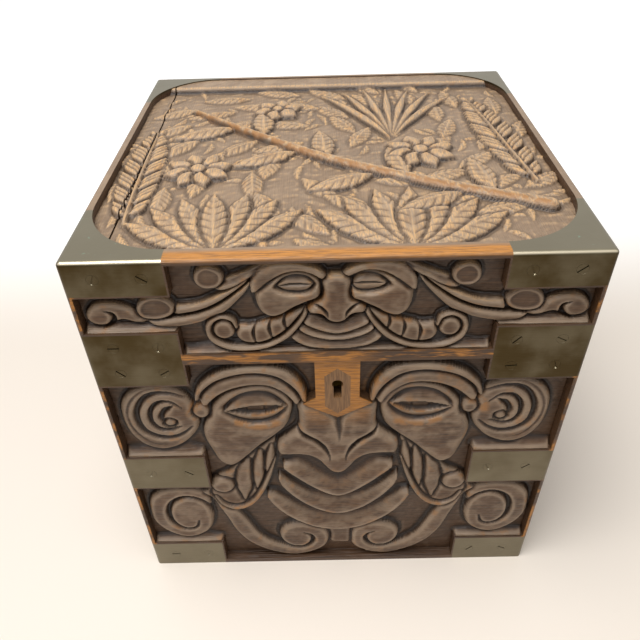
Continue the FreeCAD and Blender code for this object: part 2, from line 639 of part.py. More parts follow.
class CarvedFace:
    """A sunk field and the raised forms of the carving that stand on its floor.

    The three directions are right, up and outward for someone who looks at the face. The floor is
    its distance from the origin, and places on it are shares of the reach and of the height, which
    counts from the base.
    """

    def __init__(self, directions, floor, reach, height, depth, base="0"):
        self.right, self.up, self.out = (FreeCAD.Vector(*way) for way in directions)
        self.reach, self.height, self.depth = measure(reach), measure(height), measure(depth)
        self.origin = self.up * measure(base) + self.out * measure(floor)
        self.forms = []

    def place(self, across, up):
        """Point on the floor at shares of the reach and of the height."""
        return self.origin + self.right * (across * self.reach) + self.up * (up * self.height)

    def outline(self, edges):
        """Closed wire through the edges, with straight lines where two edges do not meet."""
        runs = [[self.place(*point) for point in edge] for edge in edges]
        pieces = []
        for run, following in zip(runs, runs[1:] + runs[:1]):
            curve = Part.BSplineCurve()
            curve.interpolate(Points=run, PeriodicFlag=len(runs) == 1)
            pieces.append(curve.toShape())
            if len(runs) > 1 and not run[-1].isEqual(following[0], self.depth * TOUCH_SHARE):
                pieces.append(Part.LineSegment(run[-1], following[0]).toShape())
        return Part.Wire(pieces)

    def raised(self, kind, wire, groove=None):
        """Add a form with the height of its kind, less a groove."""
        face = Part.Face(wire)
        if groove is not None:
            face = face.cut(Part.Face(groove)).Faces[0]
        self.forms.append(face.extrude(self.out * (RISE_SHARES[kind] * self.depth)))

    def pair(self, kind, edges, groove=None):
        """Add a form on the left half and its mirror image on the right."""
        for turn in (list, mirrored):
            self.raised(kind, self.outline(turn(edges)), groove and self.outline(turn(groove)))

    def leaf(self, kind, base, angle, length, half, start=LEAF_START_SHARE):
        """Add a pointed leaf of two arcs; length, half width and start are shares of the reach."""
        turn = FreeCAD.Rotation(self.out, angle)
        along = turn.multVec(self.right) * self.reach
        across = turn.multVec(self.up) * self.reach
        foot = self.place(*base) + along * start
        tip = foot + along * length
        middle = foot + along * (length / 2)
        sides = [Part.Arc(foot, middle + across * half, tip), Part.Arc(tip, middle - across * half, foot)]
        self.raised(kind, Part.Wire([side.toShape() for side in sides]))

    def disc(self, kind, middle, radius):
        """Add a round boss with a radius that is a share of the reach."""
        self.raised(kind, Part.Wire(Part.makeCircle(radius * self.reach, self.place(*middle), self.out)))

    def discs(self, kind, middle, radius):
        """Add a round boss on the left half and one on the right."""
        across, up = middle
        for side in SIDES.values():
            self.disc(kind, (side * across, up), radius)

    def fan(self, kind, base, heading, spread, count, length, half):
        """Add leaves that spring from a boss."""
        for number in range(count):
            self.leaf(kind, base, heading + spread * (number / (count - 1) - 1 / 2), length, half)
        self.disc(kind, base, FAN_BOSS_SHARE)

    def blossom(self, middle, petals, radius):
        """Add a flower of petals round a boss."""
        for number in range(petals):
            start = radius * PETAL_START_SHARE
            half = radius * PETAL_WIDTH_SHARE
            self.leaf("petal", middle, 360 * number / petals, radius - start, half, start)
        self.disc("boss", middle, radius * BLOSSOM_EYE_SHARE)

    def scrolls(self):
        """Add the ears, the corner volutes and the scrolls that end in volutes at the foot."""
        self.pair("ear", EAR_SHARES, EAR_GROOVE_SHARES)
        self.pair("ear", EAR_BOSS_SHARES)
        self.pair("scroll", SCROLL_SHARES)
        for kind, edges, groove, boss in (
            ("corner", CORNER_SHARES, CORNER_GROOVE_SHARES, CORNER_BOSS_SHARES),
            ("chin", CHIN_SHARES, CHIN_GROOVE_SHARES, CHIN_BOSS_SHARES),
        ):
            self.pair(kind, edges, groove)
            self.pair(kind, boss)

    def mask(self):
        """Add the mask: locks, face, eyes, brows, nose and mouth."""
        for kind, edges in (
            ("lock", LOCK_SHARES), ("face", FACE_SHARES), ("cheek", CHEEK_SHARES), ("eye", EYE_SHARES),
            ("brow", BROW_SHARES), ("lower_brow", LOWER_BROW_SHARES), ("temple", TEMPLE_SHARES),
            ("wing", WING_SHARES),
        ):
            self.pair(kind, edges)
        for kind, half in (("nose", NOSE_SHARES), ("chin_block", CHIN_BLOCK_SHARES)):
            self.raised(kind, self.outline(whole(half)))
        for half in MOUTH_SHARES:
            self.raised("mouth", self.outline(whole(half)))

    def lid_scrolls(self):
        """Add the lid's bands with their hooked ends, and the leaves that curl under them."""
        for edges in (LID_END_SHARES, LID_BAND_SHARES):
            self.pair("scroll", edges)
        self.pair("leaf", MOUSTACHE_SHARES)
        for middle, radius in LID_DISC_SHARES:
            self.discs("disc", middle, radius)

    def lid_mask(self):
        """Add the lid's small mask with the locks beside its brow."""
        self.discs("disc", *LID_TAIL_DISC_SHARES)
        for kind, edges in (
            ("scroll", LID_TAIL_SHARES), ("face", LID_FACE_SHARES), ("cheek", LID_CHEEK_SHARES),
            ("eye", LID_EYE_SHARES), ("brow", LID_BROW_SHARES),
        ):
            self.pair(kind, edges)
        self.raised("nose", self.outline(whole(LID_NOSE_SHARES)))
        for half in LID_MOUTH_SHARES:
            self.raised("mouth", self.outline(whole(half)))

    def whorl(self, count, reach, length, half):
        """Add leaves at even density round the middle, each a fixed turn on from the last and farther out."""
        for number in range(count):
            turn = number * WHORL_TURN
            away = reach * math.sqrt((number + 1 / 2) / count)
            spot = (away * math.cos(math.radians(turn)), away * math.sin(math.radians(turn)))
            self.leaf("whorl", spot, turn + WHORL_LEAN, length, half)

    def plants(self):
        """Add what grows on the top: low leaves, the bank, the bough, ferns, reeds, fans and blossoms."""
        self.whorl(WHORL_LEAVES, *WHORL_SHARES)
        self.raised("bank", self.outline(BANK_SHARES))
        self.raised("bough", self.outline(BOUGH_SHARES))
        for base, angle in BOUGH_SPRIG_SHARES:
            self.leaf("leaf", base, angle, *BOUGH_LEAF_SHARES)
        for fern in TOP_FERN_SHARES:
            self.leaf("fern", *fern)
        self.fan("reed", *TOP_REED_SHARES)
        for fan in TOP_FAN_SHARES:
            self.fan("leaf", *fan)
        for flower in TOP_BLOSSOM_SHARES:
            self.blossom(*flower)

    def carving(self, name, field, half_turn=False):
        """All forms as one piece, trimmed to the field that they stand in."""
        shape = self.forms[0].multiFuse(self.forms[1:])
        if half_turn:
            shape.rotate(FreeCAD.Vector(), FreeCAD.Vector(0, 0, 1), 180)
        forms = doc.addObject("Part::Feature", f"{name}_forms")
        forms.Shape = shape
        item = doc.addObject("Part::Common", name)
        item.Base = forms
        item.Tool = field
        return item


# Straps that belong to the case and to the lid: low edge and high edge
CASE_STRAPS = {
    "foot_strap": ("0", "foot_strap_height"),
    "mid_strap": ("mid_strap_low", MID_TOP),
    "case_seam_strap": (f"({SEAM} - case_seam_strap_height)", SEAM),
}
LID_STRAPS = {
    "lid_seam_strap": (SEAM, f"({SEAM} + lid_seam_strap_height)"),
    "lid_bracket": (f"({TOP} - bracket_drop)", TOP),
}
CASE_BANDS = [
    (None, "foot_strap_height"), ("mid_strap_low", MID_TOP),
    (f"({SEAM} - case_seam_strap_height)", None),
]
LID_BANDS = [(None, f"({SEAM} + lid_seam_strap_height)"), (f"({TOP} - bracket_drop)", None)]

# Rounded outline of the sunk field on the lid's top
FIELD_X = f"({HALF_X} - top_rim_side)"
FIELD_FRONT = f"(-({HALF_Y} - top_rim_front))"
FIELD_BACK = f"({HALF_Y} - top_rim_back)"
FIELD_FLOOR = f"({TOP} - top_ground_depth)"
FIELD_RISE = "(top_ground_depth + overrun)"
field_z = (FIELD_FLOOR, f"{TOP} + overrun")
field_parts = [
    block("top_field_long", both(f"{FIELD_X} - top_field_corner"), (FIELD_FRONT, FIELD_BACK), field_z),
    block("top_field_wide", both(FIELD_X),
          (f"({FIELD_FRONT} + top_field_corner)", f"({FIELD_BACK} - top_field_corner)"), field_z),
]
field_turns = {"front": f"{FIELD_FRONT} + top_field_corner", "back": f"{FIELD_BACK} - top_field_corner"}
for end, side in CORNERS:
    middle = (signed(SIDES[side], f"{FIELD_X} - top_field_corner"), field_turns[end], FIELD_FLOOR)
    field_parts.append(rod(f"top_field_{end}_{side}", "z", "top_field_corner", middle, FIELD_RISE))
top_field = join("top_field", *field_parts)

# Bevels along the back seam that meet when the lid stands open
BEVEL_RISE = "((hinge_inset + overrun) * tan((lid_opening / 2 + bevel_ease) * 1 deg))"
BEVEL_OUT = f"{HALF_Y} + overrun"
BEVEL_RUN = "box_width + 2 * overrun"
bevels = {}
for name, way in (("case", "-"), ("lid", "+")):
    wedge = [(HINGE_Y, SEAM), (BEVEL_OUT, SEAM), (BEVEL_OUT, f"{SEAM} {way} {BEVEL_RISE}")]
    bevels[name] = plate(f"{name}_bevel", "YZ_Plane", f"-({HALF_X} + overrun)", wedge, BEVEL_RUN)


def corner_strap(label, end, side, low, high):
    """Blank of one strap bent round a corner; a lid bracket also turns over the top."""
    across = SIDES[side]
    deep = ENDS[end]
    bracket = label.startswith("lid_bracket")
    core_top = f"{TOP} - strap_thickness" if bracket else f"{high} + overrun"
    blank = block(
        f"{label}_blank",
        span(across, f"{HALF_X} - strap_leg", HALF_X),
        span(deep, f"{HALF_Y} - strap_leg", HALF_Y),
        (low, high),
    )
    core = block(
        f"{label}_core",
        span(across, f"{HALF_X} - strap_leg - overrun", f"{HALF_X} - strap_thickness"),
        span(deep, f"{HALF_Y} - strap_leg - overrun", f"{HALF_Y} - strap_thickness"),
        (f"{low} - overrun", core_top),
    )
    tools = [core, top_field] if bracket else [core]
    return cut(f"{label}_bent", blank, *tools)


def straps(kind, rows):
    """All straps of the case or the lid, with their seats and screw holes as tools."""
    places = []
    seats = {}
    for strap, (low, high) in rows.items():
        for end, side in CORNERS:
            label = f"{strap}_{end}_{side}"
            seats[label] = corner_strap(label, end, side, low, high)
            places += strap_screw_places(end, side, f"({low} + {high}) / 2")
    holes = screw_group(f"{kind}_strap_screws", places, *STRAP_SCREW)
    for label, bent in seats.items():
        tools = [bevels[kind], holes] if "seam_strap_back" in label else [holes]
        keep(label, cut(label, rounded(f"{label}_rounded", bent), *tools))
    return gather(f"{kind}_strap_seats", seats.values()), holes


case_seats, case_strap_holes = straps("case", CASE_STRAPS)
lid_seats, lid_strap_holes = straps("lid", LID_STRAPS)

# Hinges at the back seam
KNUCKLES = 5
hinge_seats = {"case": [], "lid": []}
hinge_rows = {"case": [], "lid": []}
HINGE_SCREW_Y = f"({HINGE_Y} - (hinge_leaf_width + knuckle_radius + knuckle_gap) / 2)"
for side, across in SIDES.items():
    middle = signed(across, "hinge_centre")
    for shift in ("- hinge_screw_spread", "", "+ hinge_screw_spread"):
        place = f"{middle} {shift}"
        hinge_rows["case"].append(((place, HINGE_SCREW_Y, f"{SEAM} - hinge_set_down"), (0, 0, -1)))
        hinge_rows["lid"].append(((place, HINGE_SCREW_Y, f"{SEAM} + hinge_set_down"), (0, 0, 1)))
hinge_holes = {}
for owner, rows in hinge_rows.items():
    hinge_holes[owner] = screw_group(f"hinge_{owner}_screws", rows, *SMALL_SCREW)


def hinge(side):
    """One butt hinge: case leaf and lid leaf with alternate knuckles on a pin."""
    middle = signed(SIDES[side], "hinge_centre")
    start = f"({middle} - hinge_length / 2)"
    ends = (start, f"({middle} + hinge_length / 2)")
    bore = rod(f"hinge_{side}_bore", "x", "hinge_pin_radius + hinge_pin_ease",
               (f"{start} - overrun", HINGE_Y, SEAM), "hinge_length + 2 * overrun")
    pin = rod(f"hinge_{side}_pin", "x", "hinge_pin_radius", (start, HINGE_Y, SEAM), "hinge_length")
    keep(f"hinge_{side}_pin", pin)
    for owner, way, first in (("case", -1, 0), ("lid", 1, 1)):
        name = f"hinge_{side}_{owner}_leaf"
        low, high = span(way, "hinge_set_down", "hinge_set_down + hinge_leaf_thickness")
        level = (f"({SEAM} + {low})", f"({SEAM} + {high})")
        flap_y = (f"({HINGE_Y} - hinge_leaf_width)", f"({HINGE_Y} - knuckle_radius - knuckle_gap)")
        pieces = [block(f"{name}_flap", ends, flap_y, level)]
        for number in range(first, KNUCKLES, 2):
            left = f"({start} + hinge_length * {number} / {KNUCKLES} + knuckle_gap / 2)"
            length = f"(hinge_length / {KNUCKLES} - knuckle_gap)"
            right = f"({left} + {length})"
            place = (left, HINGE_Y, SEAM)
            pieces.append(rod(f"{name}_knuckle{number}", "x", "knuckle_radius", place, length))
            pieces.append(block(f"{name}_web{number}", (left, right), (flap_y[0], HINGE_Y), level))
        keep(name, cut(name, join(f"{name}_whole", *pieces), bore, hinge_holes[owner]))
        seat = span(way, "(-overrun)", "hinge_set_down + hinge_leaf_thickness")
        hinge_seats[owner].append(join(
            f"{name}_seat",
            block(f"{name}_gain", ends, (flap_y[0], HINGE_Y), [f"({SEAM} + {edge})" for edge in seat]),
            rod(f"{name}_relief", "x", "knuckle_radius + knuckle_gap",
                (f"{start} - knuckle_gap", HINGE_Y, SEAM), "hinge_length + 2 * knuckle_gap"),
        ))


for side in SIDES:
    hinge(side)
hinge_tools = {owner: gather(f"hinge_{owner}_seats", seats) for owner, seats in hinge_seats.items()}

# Keyhole, its inlay and the lock behind it
KEYHOLE_Y = (f"-({HALF_Y} + overrun)", f"-({INNER_Y} + lock_plate + lock_case_wall)")
KEYHOLE_RUN = f"{KEYHOLE_Y[1]} - ({KEYHOLE_Y[0]})"
KEYHOLE_LOW = f"({KEY_Z} + keyhole_bow / 2 - keyhole_length)"
keyhole = join(
    "keyhole",
    rod("keyhole_bow_hole", "-y", "keyhole_bow / 2", ("0", KEYHOLE_Y[1], KEY_Z), KEYHOLE_RUN),
    block("keyhole_slot_hole", both("keyhole_slot / 2"), KEYHOLE_Y, (KEYHOLE_LOW, KEY_Z)),
)
INLAY_Z = f"({SEAM} - inlay_drop)"
inlay_outline = [
    ("inlay_width / 2", f"{INLAY_Z} - inlay_height / 2 + inlay_point"),
    ("inlay_width / 2", f"{INLAY_Z} + inlay_height / 2 - inlay_point"),
    ("0", f"{INLAY_Z} + inlay_height / 2"),
    ("-inlay_width / 2", f"{INLAY_Z} + inlay_height / 2 - inlay_point"),
    ("-inlay_width / 2", f"{INLAY_Z} - inlay_height / 2 + inlay_point"),
    ("0", f"{INLAY_Z} - inlay_height / 2"),
]
inlay_seat = f"{HALF_Y} - inlay_thickness"
inlay_blank = plate("inlay_blank", "XZ_Plane", inlay_seat, inlay_outline, "inlay_thickness")
keep("keyhole_inlay", cut("keyhole_inlay", inlay_blank, keyhole))

lock_screw_places = []
link_screw_places = []
for across in SIDES.values():
    place = signed(across, "lock_width / 2 - lock_screw_edge")
    for drop in ("lock_screw_high", "lock_screw_low"):
        lock_screw_places.append(((place, f"-{INNER_Y}", f"{SEAM} - {drop}"), (0, -1, 0)))
    link_place = signed(across, "link_width / 2 - link_screw_edge")
    link_screw_places.append(((link_place, f"-{BOLT_Y}", SEAM), (0, 0, 1)))
lock_holes = screw_group("lock_screws", lock_screw_places, *SMALL_SCREW)
link_holes = screw_group("link_plate_screws", link_screw_places, *SMALL_SCREW)

# Lock plate on the inner face, with the selvedge turned along the case's top edge
plate_y = (f"-{LOCK_BACK}", f"-{INNER_Y}")
plate_flat = block("lock_plate_flat", both("lock_width / 2"), plate_y, (f"({SEAM} - lock_height)", SEAM))
selvedge_y = (f"-{LOCK_FRONT}", f"-{INNER_Y}")
selvedge = block("lock_selvedge", both("lock_width / 2"), selvedge_y, (f"({SEAM} - selvedge)", SEAM))
BAR_TOP = f"({SEAM} - bolt_bar_top)"
BAR_LOW = f"({SEAM} - bolt_bar_top - bolt_bar_height)"
STAPLE_LEFT = "(-staple_spread / 2 - staple_thickness / 2)"
STAPLE_RIGHT = "(staple_spread / 2 - staple_thickness / 2)"
FINGER_LEFT = f"({STAPLE_LEFT} - bolt_ease)"
FINGER_RIGHT = f"({STAPLE_RIGHT} - bolt_ease)"
NECK_LEFT = f"({FINGER_LEFT} - bolt_throw)"
NECK_RIGHT = f"({FINGER_RIGHT} - bolt_throw)"
bolt_rest = block("lock_bolt_rest", (NECK_LEFT, f"({NECK_LEFT} + bolt_rest_width)"),
                  (f"(-{BOLT_Y} + bolt_thickness / 2 + bolt_ease)", f"-{INNER_Y}"),
                  (f"({BAR_LOW} + bolt_ease)", f"({BAR_TOP} - bolt_ease)"))


def staple(name, side, ease, top):
    """One staple of the link plate, or with an ease the slot that it enters."""
    middle = signed(SIDES[side], "staple_spread / 2")
    return block(
        name,
        (f"({middle} - staple_thickness / 2 - {ease})", f"({middle} + staple_thickness / 2 + {ease})"),
        (f"(-{BOLT_Y} - staple_width / 2 - {ease})", f"(-{BOLT_Y} + staple_width / 2 + {ease})"),
        (f"({SEAM} - staple_drop - {ease})", top),
    )


slots = [staple(f"{side}_slot", side, "staple_ease", f"{SEAM} + overrun") for side in SIDES]
staples = [staple(f"{side}_staple", side, "0", f"{SEAM} + link_thickness") for side in SIDES]
lock_bent = join("lock_plate_bent", plate_flat, selvedge, bolt_rest)
keep("lock_plate", cut("lock_plate", lock_bent, gather("staple_slots", slots), lock_holes))

# Cap that closes the lock towards the wood
CASE_X = "(lock_case_width / 2)"
case_z = (f"({SEAM} - selvedge - lock_case_height)", f"({SEAM} - selvedge)")
cap_outside = block("lock_cap_outside", both(CASE_X), (f"-{LOCK_FRONT}", f"-{LOCK_BACK}"), case_z)
cap_inside = block("lock_cap_inside", both(f"{CASE_X} - lock_case_wall"),
                   (f"(-{LOCK_FRONT} + lock_case_wall)", f"(-{LOCK_BACK} + overrun)"),
                   (f"({case_z[0]} + lock_case_wall)", f"({case_z[1]} + overrun)"))
keep("lock_cap", cut("lock_cap", cap_outside, cap_inside, keyhole))
keep("key_pin", rod("key_pin", "-y", "key_pin_radius", ("0", f"-{LOCK_BACK}", KEY_Z), "key_pin_length"))

# Bolt: a bar with two hooked fingers that pass through the staples when it is thrown
FINGER_TOP = f"({SEAM} - bolt_finger_high)"
FINGER_LOW = f"({SEAM} - bolt_finger_low)"
TALON_X = "(bolt_talon / 2)"
TALON_Z = f"{BAR_LOW} + bolt_talon_depth"
BOLT_FACE = f"{BOLT_Y} - bolt_thickness / 2"
bolt_outline = [
    (f"{NECK_LEFT} - bolt_neck", BAR_LOW), (f"-{TALON_X}", BAR_LOW), (f"-{TALON_X}", TALON_Z),
    (TALON_X, TALON_Z), (TALON_X, BAR_LOW), (NECK_RIGHT, BAR_LOW), (NECK_RIGHT, FINGER_LOW),
    (FINGER_RIGHT, FINGER_LOW), (FINGER_RIGHT, FINGER_TOP), (f"{NECK_RIGHT} - bolt_neck", FINGER_TOP),
    (f"{NECK_RIGHT} - bolt_neck", BAR_TOP), (NECK_LEFT, BAR_TOP), (NECK_LEFT, FINGER_LOW),
    (FINGER_LEFT, FINGER_LOW), (FINGER_LEFT, FINGER_TOP), (f"{NECK_LEFT} - bolt_neck", FINGER_TOP),
]
keep("lock_bolt", plate("lock_bolt", "XZ_Plane", BOLT_FACE, bolt_outline, "bolt_thickness"))

# Bent spring on the bar that presses up under the selvedge
SPRING_X = f"({NECK_RIGHT} - bolt_neck - spring_foot / 2)"
SPRING_TOP = f"({BAR_TOP} + spring_rise)"
spring_outline = [
    (SPRING_X, BAR_TOP), (SPRING_X, f"{BAR_TOP} + spring_thickness"),
    (f"{SPRING_X} - spring_foot", f"{BAR_TOP} + spring_thickness"),
    (f"{SPRING_X} - spring_length + spring_foot", SPRING_TOP), (f"{SPRING_X} - spring_length", SPRING_TOP),
    (f"{SPRING_X} - spring_length", f"{SPRING_TOP} - spring_thickness"),
    (f"{SPRING_X} - spring_length + spring_foot - spring_thickness", f"{SPRING_TOP} - spring_thickness"),
    (f"{SPRING_X} - spring_foot - spring_thickness", BAR_TOP),
]
keep("lock_spring", plate("lock_spring", "XZ_Plane", BOLT_FACE, spring_outline, "bolt_thickness"))

# Link plate in the lid with the two staples that enter the lock
link_y = (f"-{LOCK_FRONT}", f"-{LOCK_BACK}")
link_flat = block("link_flat", both("link_width / 2"), link_y, (SEAM, f"({SEAM} + link_thickness)"))
windows = block(
    "staple_windows",
    both("lock_width / 2"),
    (f"(-{BOLT_Y} - staple_window / 2)", f"(-{BOLT_Y} + staple_window / 2)"),
    (f"({SEAM} - staple_window_low)", f"({SEAM} - staple_window_high)"),
)
keep("link_plate", cut("link_plate", join("link_whole", link_flat, *staples), windows, link_holes))
link_z = (f"({SEAM} - overrun)", f"({SEAM} + link_thickness)")
link_seat = block("link_seat", both("link_width / 2"), link_y, link_z)

# Mortise for the lock in the front board: plate, selvedge and case
INSIDE = f"(-{INNER_Y} + overrun)"
ABOVE = f"{SEAM} + overrun"
mortises = {
    "plate": ("lock_width / 2", f"-{LOCK_BACK}", f"({SEAM} - lock_height)"),
    "edge": ("lock_width / 2", f"-{LOCK_FRONT}", f"({SEAM} - selvedge)"),
    "case": (f"{CASE_X} + lock_ease", f"(-{LOCK_FRONT} - lock_ease)", f"({case_z[0]} - lock_ease)"),
}
mortise_parts = []
for piece, (reach, outside, low) in mortises.items():
    mortise_parts.append(block(f"lock_mortise_{piece}", both(reach), (outside, INSIDE), (low, ABOVE)))
lock_mortise = join("lock_mortise", *mortise_parts)

# Base board in its rebate
BASE_X = f"({INNER_X} + base_rebate)"
BASE_Y = f"({INNER_Y} + base_rebate)"
base_blank = block("base_blank", both(BASE_X), both(BASE_Y), ("0", "base_thickness"))
base_seat = block("base_seat", both(BASE_X), both(BASE_Y), ("-overrun", "base_thickness"))
base_screw_places = []
for end, deep in ENDS.items():
    row = signed(deep, f"{INNER_Y} + base_rebate / 2")
    for place in ("-base_screw_along_front", "0", "base_screw_along_front"):
        base_screw_places.append(((place, row, "0"), (0, 0, 1)))
for side, across in SIDES.items():
    row = signed(across, f"{INNER_X} + base_rebate / 2")
    for place in ("-base_screw_along_side", "base_screw_along_side"):
        base_screw_places.append(((row, place, "0"), (0, 0, 1)))
base_holes = screw_group("base_screws", base_screw_places, *BASE_SCREW)
keep("base_board", cut("base_board", base_blank, base_holes))

# Sunk fields on the front and the sides
STRAP_END_X = f"({HALF_X} - strap_leg - strap_land)"
STRAP_END_Y = f"({HALF_Y} - strap_leg - strap_land)"
REACH_X = f"({HALF_X} - field_edge_rim)"
REACH_Y = f"({LAP_Y} - field_edge_rim)"
CASE_FIELD_TOP = f"({SEAM} - field_seam_rim)"
LID_FIELD_LOW = f"({SEAM} + lid_field_rim)"
plaque = [
    ("plaque_neck / 2", CASE_FIELD_TOP), ("plaque_neck / 2", f"{SEAM} - plaque_neck_drop"),
    ("plaque_wing / 2", f"{SEAM} - plaque_wing_drop"), ("0", f"{SEAM} - plaque_tip_drop"),
]
FIELD_DEPTH = "ground_depth + overrun"
CASE_FIELD = ("field_low_rim", CASE_FIELD_TOP, CASE_BANDS)
LID_FRONT_FIELD = (LID_FIELD_LOW, f"({TOP} - lid_field_rim)", LID_BANDS)
# The lid's side fields end below the sunk top, so that a wall stays between them
LID_SIDE_FIELD = (LID_FIELD_LOW, f"({FIELD_FLOOR} - lid_field_wall)", LID_BANDS)
ON_FRONT = ("XZ_Plane", f"{HALF_Y} - ground_depth")
ON_SIDE = ("YZ_Plane", f"{HALF_X} - ground_depth")
front_field = field_outline(REACH_X, STRAP_END_X, *CASE_FIELD, plaque)
side_field = field_outline(REACH_Y, STRAP_END_Y, *CASE_FIELD)
lid_front_field = field_outline(REACH_X, STRAP_END_X, *LID_FRONT_FIELD)
lid_side_field = field_outline(REACH_Y, STRAP_END_Y, *LID_SIDE_FIELD)
fields = {
    "front_panel": plate("front_field", *ON_FRONT, front_field, FIELD_DEPTH),
    "right_panel": plate("right_field", *ON_SIDE, side_field, FIELD_DEPTH),
    "left_panel": turned(plate("left_field", *ON_SIDE, side_field, FIELD_DEPTH)),
    "lid_front": plate("lid_front_field", *ON_FRONT, lid_front_field, FIELD_DEPTH),
    "lid_right": plate("lid_right_field", *ON_SIDE, lid_side_field, FIELD_DEPTH),
    "lid_left": turned(plate("lid_left_field", *ON_SIDE, lid_side_field, FIELD_DEPTH)),
}

# Boards of the case
for end in ENDS:
    name = f"{end}_panel"
    tools = [base_seat, case_seats, case_strap_holes, base_holes]
    if end == "front":
        tools += [fields[name], inlay_blank, lock_mortise, keyhole, lock_holes]
    else:
        tools += [bevels["case"], hinge_tools["case"], hinge_holes["case"]]
    keep(name, cut(name, end_board(name, end, "0", SEAM), *tools))
for side in SIDES:
    name = f"{side}_panel"
    tools = [base_seat, case_seats, fields[name], case_strap_holes, base_holes]
    keep(name, cut(name, side_board(name, side, "0", SEAM), *tools))

# Top board of the lid, tongued into the rails, and the rails
TONGUE_LOW = f"({TOP} - top_thickness + top_tongue_lift)"
top_tongue = block(
    "top_tongue_plate",
    both(f"{INNER_X} + top_tongue_reach"),
    both(f"{INNER_Y} + top_tongue_reach"),
    (TONGUE_LOW, f"({TONGUE_LOW} + top_tongue)"),
)
top_x = (f"(-{INNER_X} + top_joint_gap)", INNER_X)
top_panel = block("top_panel", top_x, both(INNER_Y), (f"({TOP} - top_thickness)", TOP))
keep("lid_top", cut("lid_top", join("lid_top_board", top_panel, top_tongue), top_field, lid_seats))
for end in ENDS:
    name = f"lid_{end}"
    tools = [top_tongue, top_field, lid_seats, lid_strap_holes]
    if end == "front":
        tools += [fields[name], link_seat, link_holes]
    else:
        tools += [bevels["lid"], hinge_tools["lid"], hinge_holes["lid"]]
    keep(name, cut(name, end_board(name, end, SEAM, TOP), *tools))
for side in SIDES:
    name = f"lid_{side}"
    tools = [top_tongue, top_field, lid_seats, fields[name], lid_strap_holes]
    keep(name, cut(name, side_board(name, side, SEAM, TOP), *tools))

# Main forms of the carving in their sunk fields
FRONT_WAYS = ((1, 0, 0), (0, 0, 1), (0, -1, 0))
SIDE_WAYS = ((0, 1, 0), (0, 0, 1), (1, 0, 0))
TOP_WAYS = ((1, 0, 0), (0, 1, 0), (0, 0, 1))
front_face = CarvedFace(FRONT_WAYS, ON_FRONT[1], REACH_X, SEAM, "ground_depth")
front_face.scrolls()
front_face.mask()
keep("front_carving", front_face.carving("front_carving", fields["front_panel"]))
side_face = CarvedFace(SIDE_WAYS, ON_SIDE[1], REACH_Y, SEAM, "ground_depth")
side_face.scrolls()
for fan in SIDE_FAN_SHARES:
    side_face.fan("leaf", *fan)
side_face.blossom(*SIDE_BLOSSOM_SHARES)
for side in SIDES:
    name = f"{side}_carving"
    keep(name, side_face.carving(name, fields[f"{side}_panel"], side == "left"))
lid_face = CarvedFace(FRONT_WAYS, ON_FRONT[1], REACH_X, "lid_height", "ground_depth", SEAM)
lid_face.lid_scrolls()
lid_face.lid_mask()
keep("lid_front_carving", lid_face.carving("lid_front_carving", fields["lid_front"]))
lid_side_face = CarvedFace(SIDE_WAYS, ON_SIDE[1], REACH_Y, "lid_height", "ground_depth", SEAM)
lid_side_face.lid_scrolls()
for fan in LID_FAN_SHARES:
    lid_side_face.fan("leaf", *fan)
lid_side_face.blossom(*LID_BLOSSOM_SHARES)
for side in SIDES:
    name = f"lid_{side}_carving"
    keep(name, lid_side_face.carving(name, fields[f"lid_{side}"], side == "left"))
top_face = CarvedFace(TOP_WAYS, FIELD_FLOOR, FIELD_X, FIELD_BACK, "top_ground_depth")
top_face.plants()
open_joint = block("top_joint", (f"-{INNER_X}", f"(-{INNER_X} + top_joint_gap)"), both(HALF_Y), field_z)
keep("lid_top_carving", cut("lid_top_carving", top_face.carving("lid_top_plants", top_field), open_joint))

doc.recompute()

# Every object is sound before anything is written
for item in doc.Objects:
    if "Invalid" in item.State or "Error" in item.State:
        raise RuntimeError(f"{item.Label} did not recompute: {item.State}")
for label, item in nodes.items():
    if item.Shape.isNull() or not item.Shape.isValid() or not item.Shape.Solids:
        raise RuntimeError(f"{label} has no sound solid")
os.makedirs("parts", exist_ok=True)
for label, item in nodes.items():
    item.Shape.exportStep(f"parts/{label}.step")
    print(f"{label}: {len(item.Shape.Solids)} solid(s), {item.Shape.Volume:.0f} mm3")
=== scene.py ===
"""Looks of the carved wooden box: its carving, its finishes and the studio it stands in.

The carving lies in the sunk fields of the boards as closed slabs whose outer face is a height
field. Wood, brass and steel are procedural finishes that read object coordinates and the carving's
own attributes. Outlines of the carving are in millimetres on the face they belong to, across from
the middle and up from the box's underside.
"""

import json
import logging
from copy import copy
from dataclasses import dataclass
from enum import Enum
from math import cos, degrees, pi, radians, sin, tau
from typing import Callable, Iterable, Sequence

import bmesh
import bpy
import numpy as np
from mathutils import Matrix, Vector


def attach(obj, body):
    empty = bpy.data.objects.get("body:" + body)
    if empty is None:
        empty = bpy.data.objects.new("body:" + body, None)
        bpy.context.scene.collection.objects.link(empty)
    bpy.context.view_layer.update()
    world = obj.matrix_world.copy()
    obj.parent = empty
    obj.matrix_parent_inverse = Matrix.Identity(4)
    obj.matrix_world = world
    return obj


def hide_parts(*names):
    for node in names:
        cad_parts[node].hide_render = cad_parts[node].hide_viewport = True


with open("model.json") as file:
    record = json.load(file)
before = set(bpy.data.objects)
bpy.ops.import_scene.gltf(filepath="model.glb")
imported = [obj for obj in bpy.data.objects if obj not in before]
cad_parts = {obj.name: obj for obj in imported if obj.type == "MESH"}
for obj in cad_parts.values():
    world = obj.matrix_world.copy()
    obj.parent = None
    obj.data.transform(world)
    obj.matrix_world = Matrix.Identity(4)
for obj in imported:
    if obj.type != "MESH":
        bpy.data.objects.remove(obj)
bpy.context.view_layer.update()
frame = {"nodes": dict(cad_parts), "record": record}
LOG = logging.getLogger("carved_box")
MM = 0.001

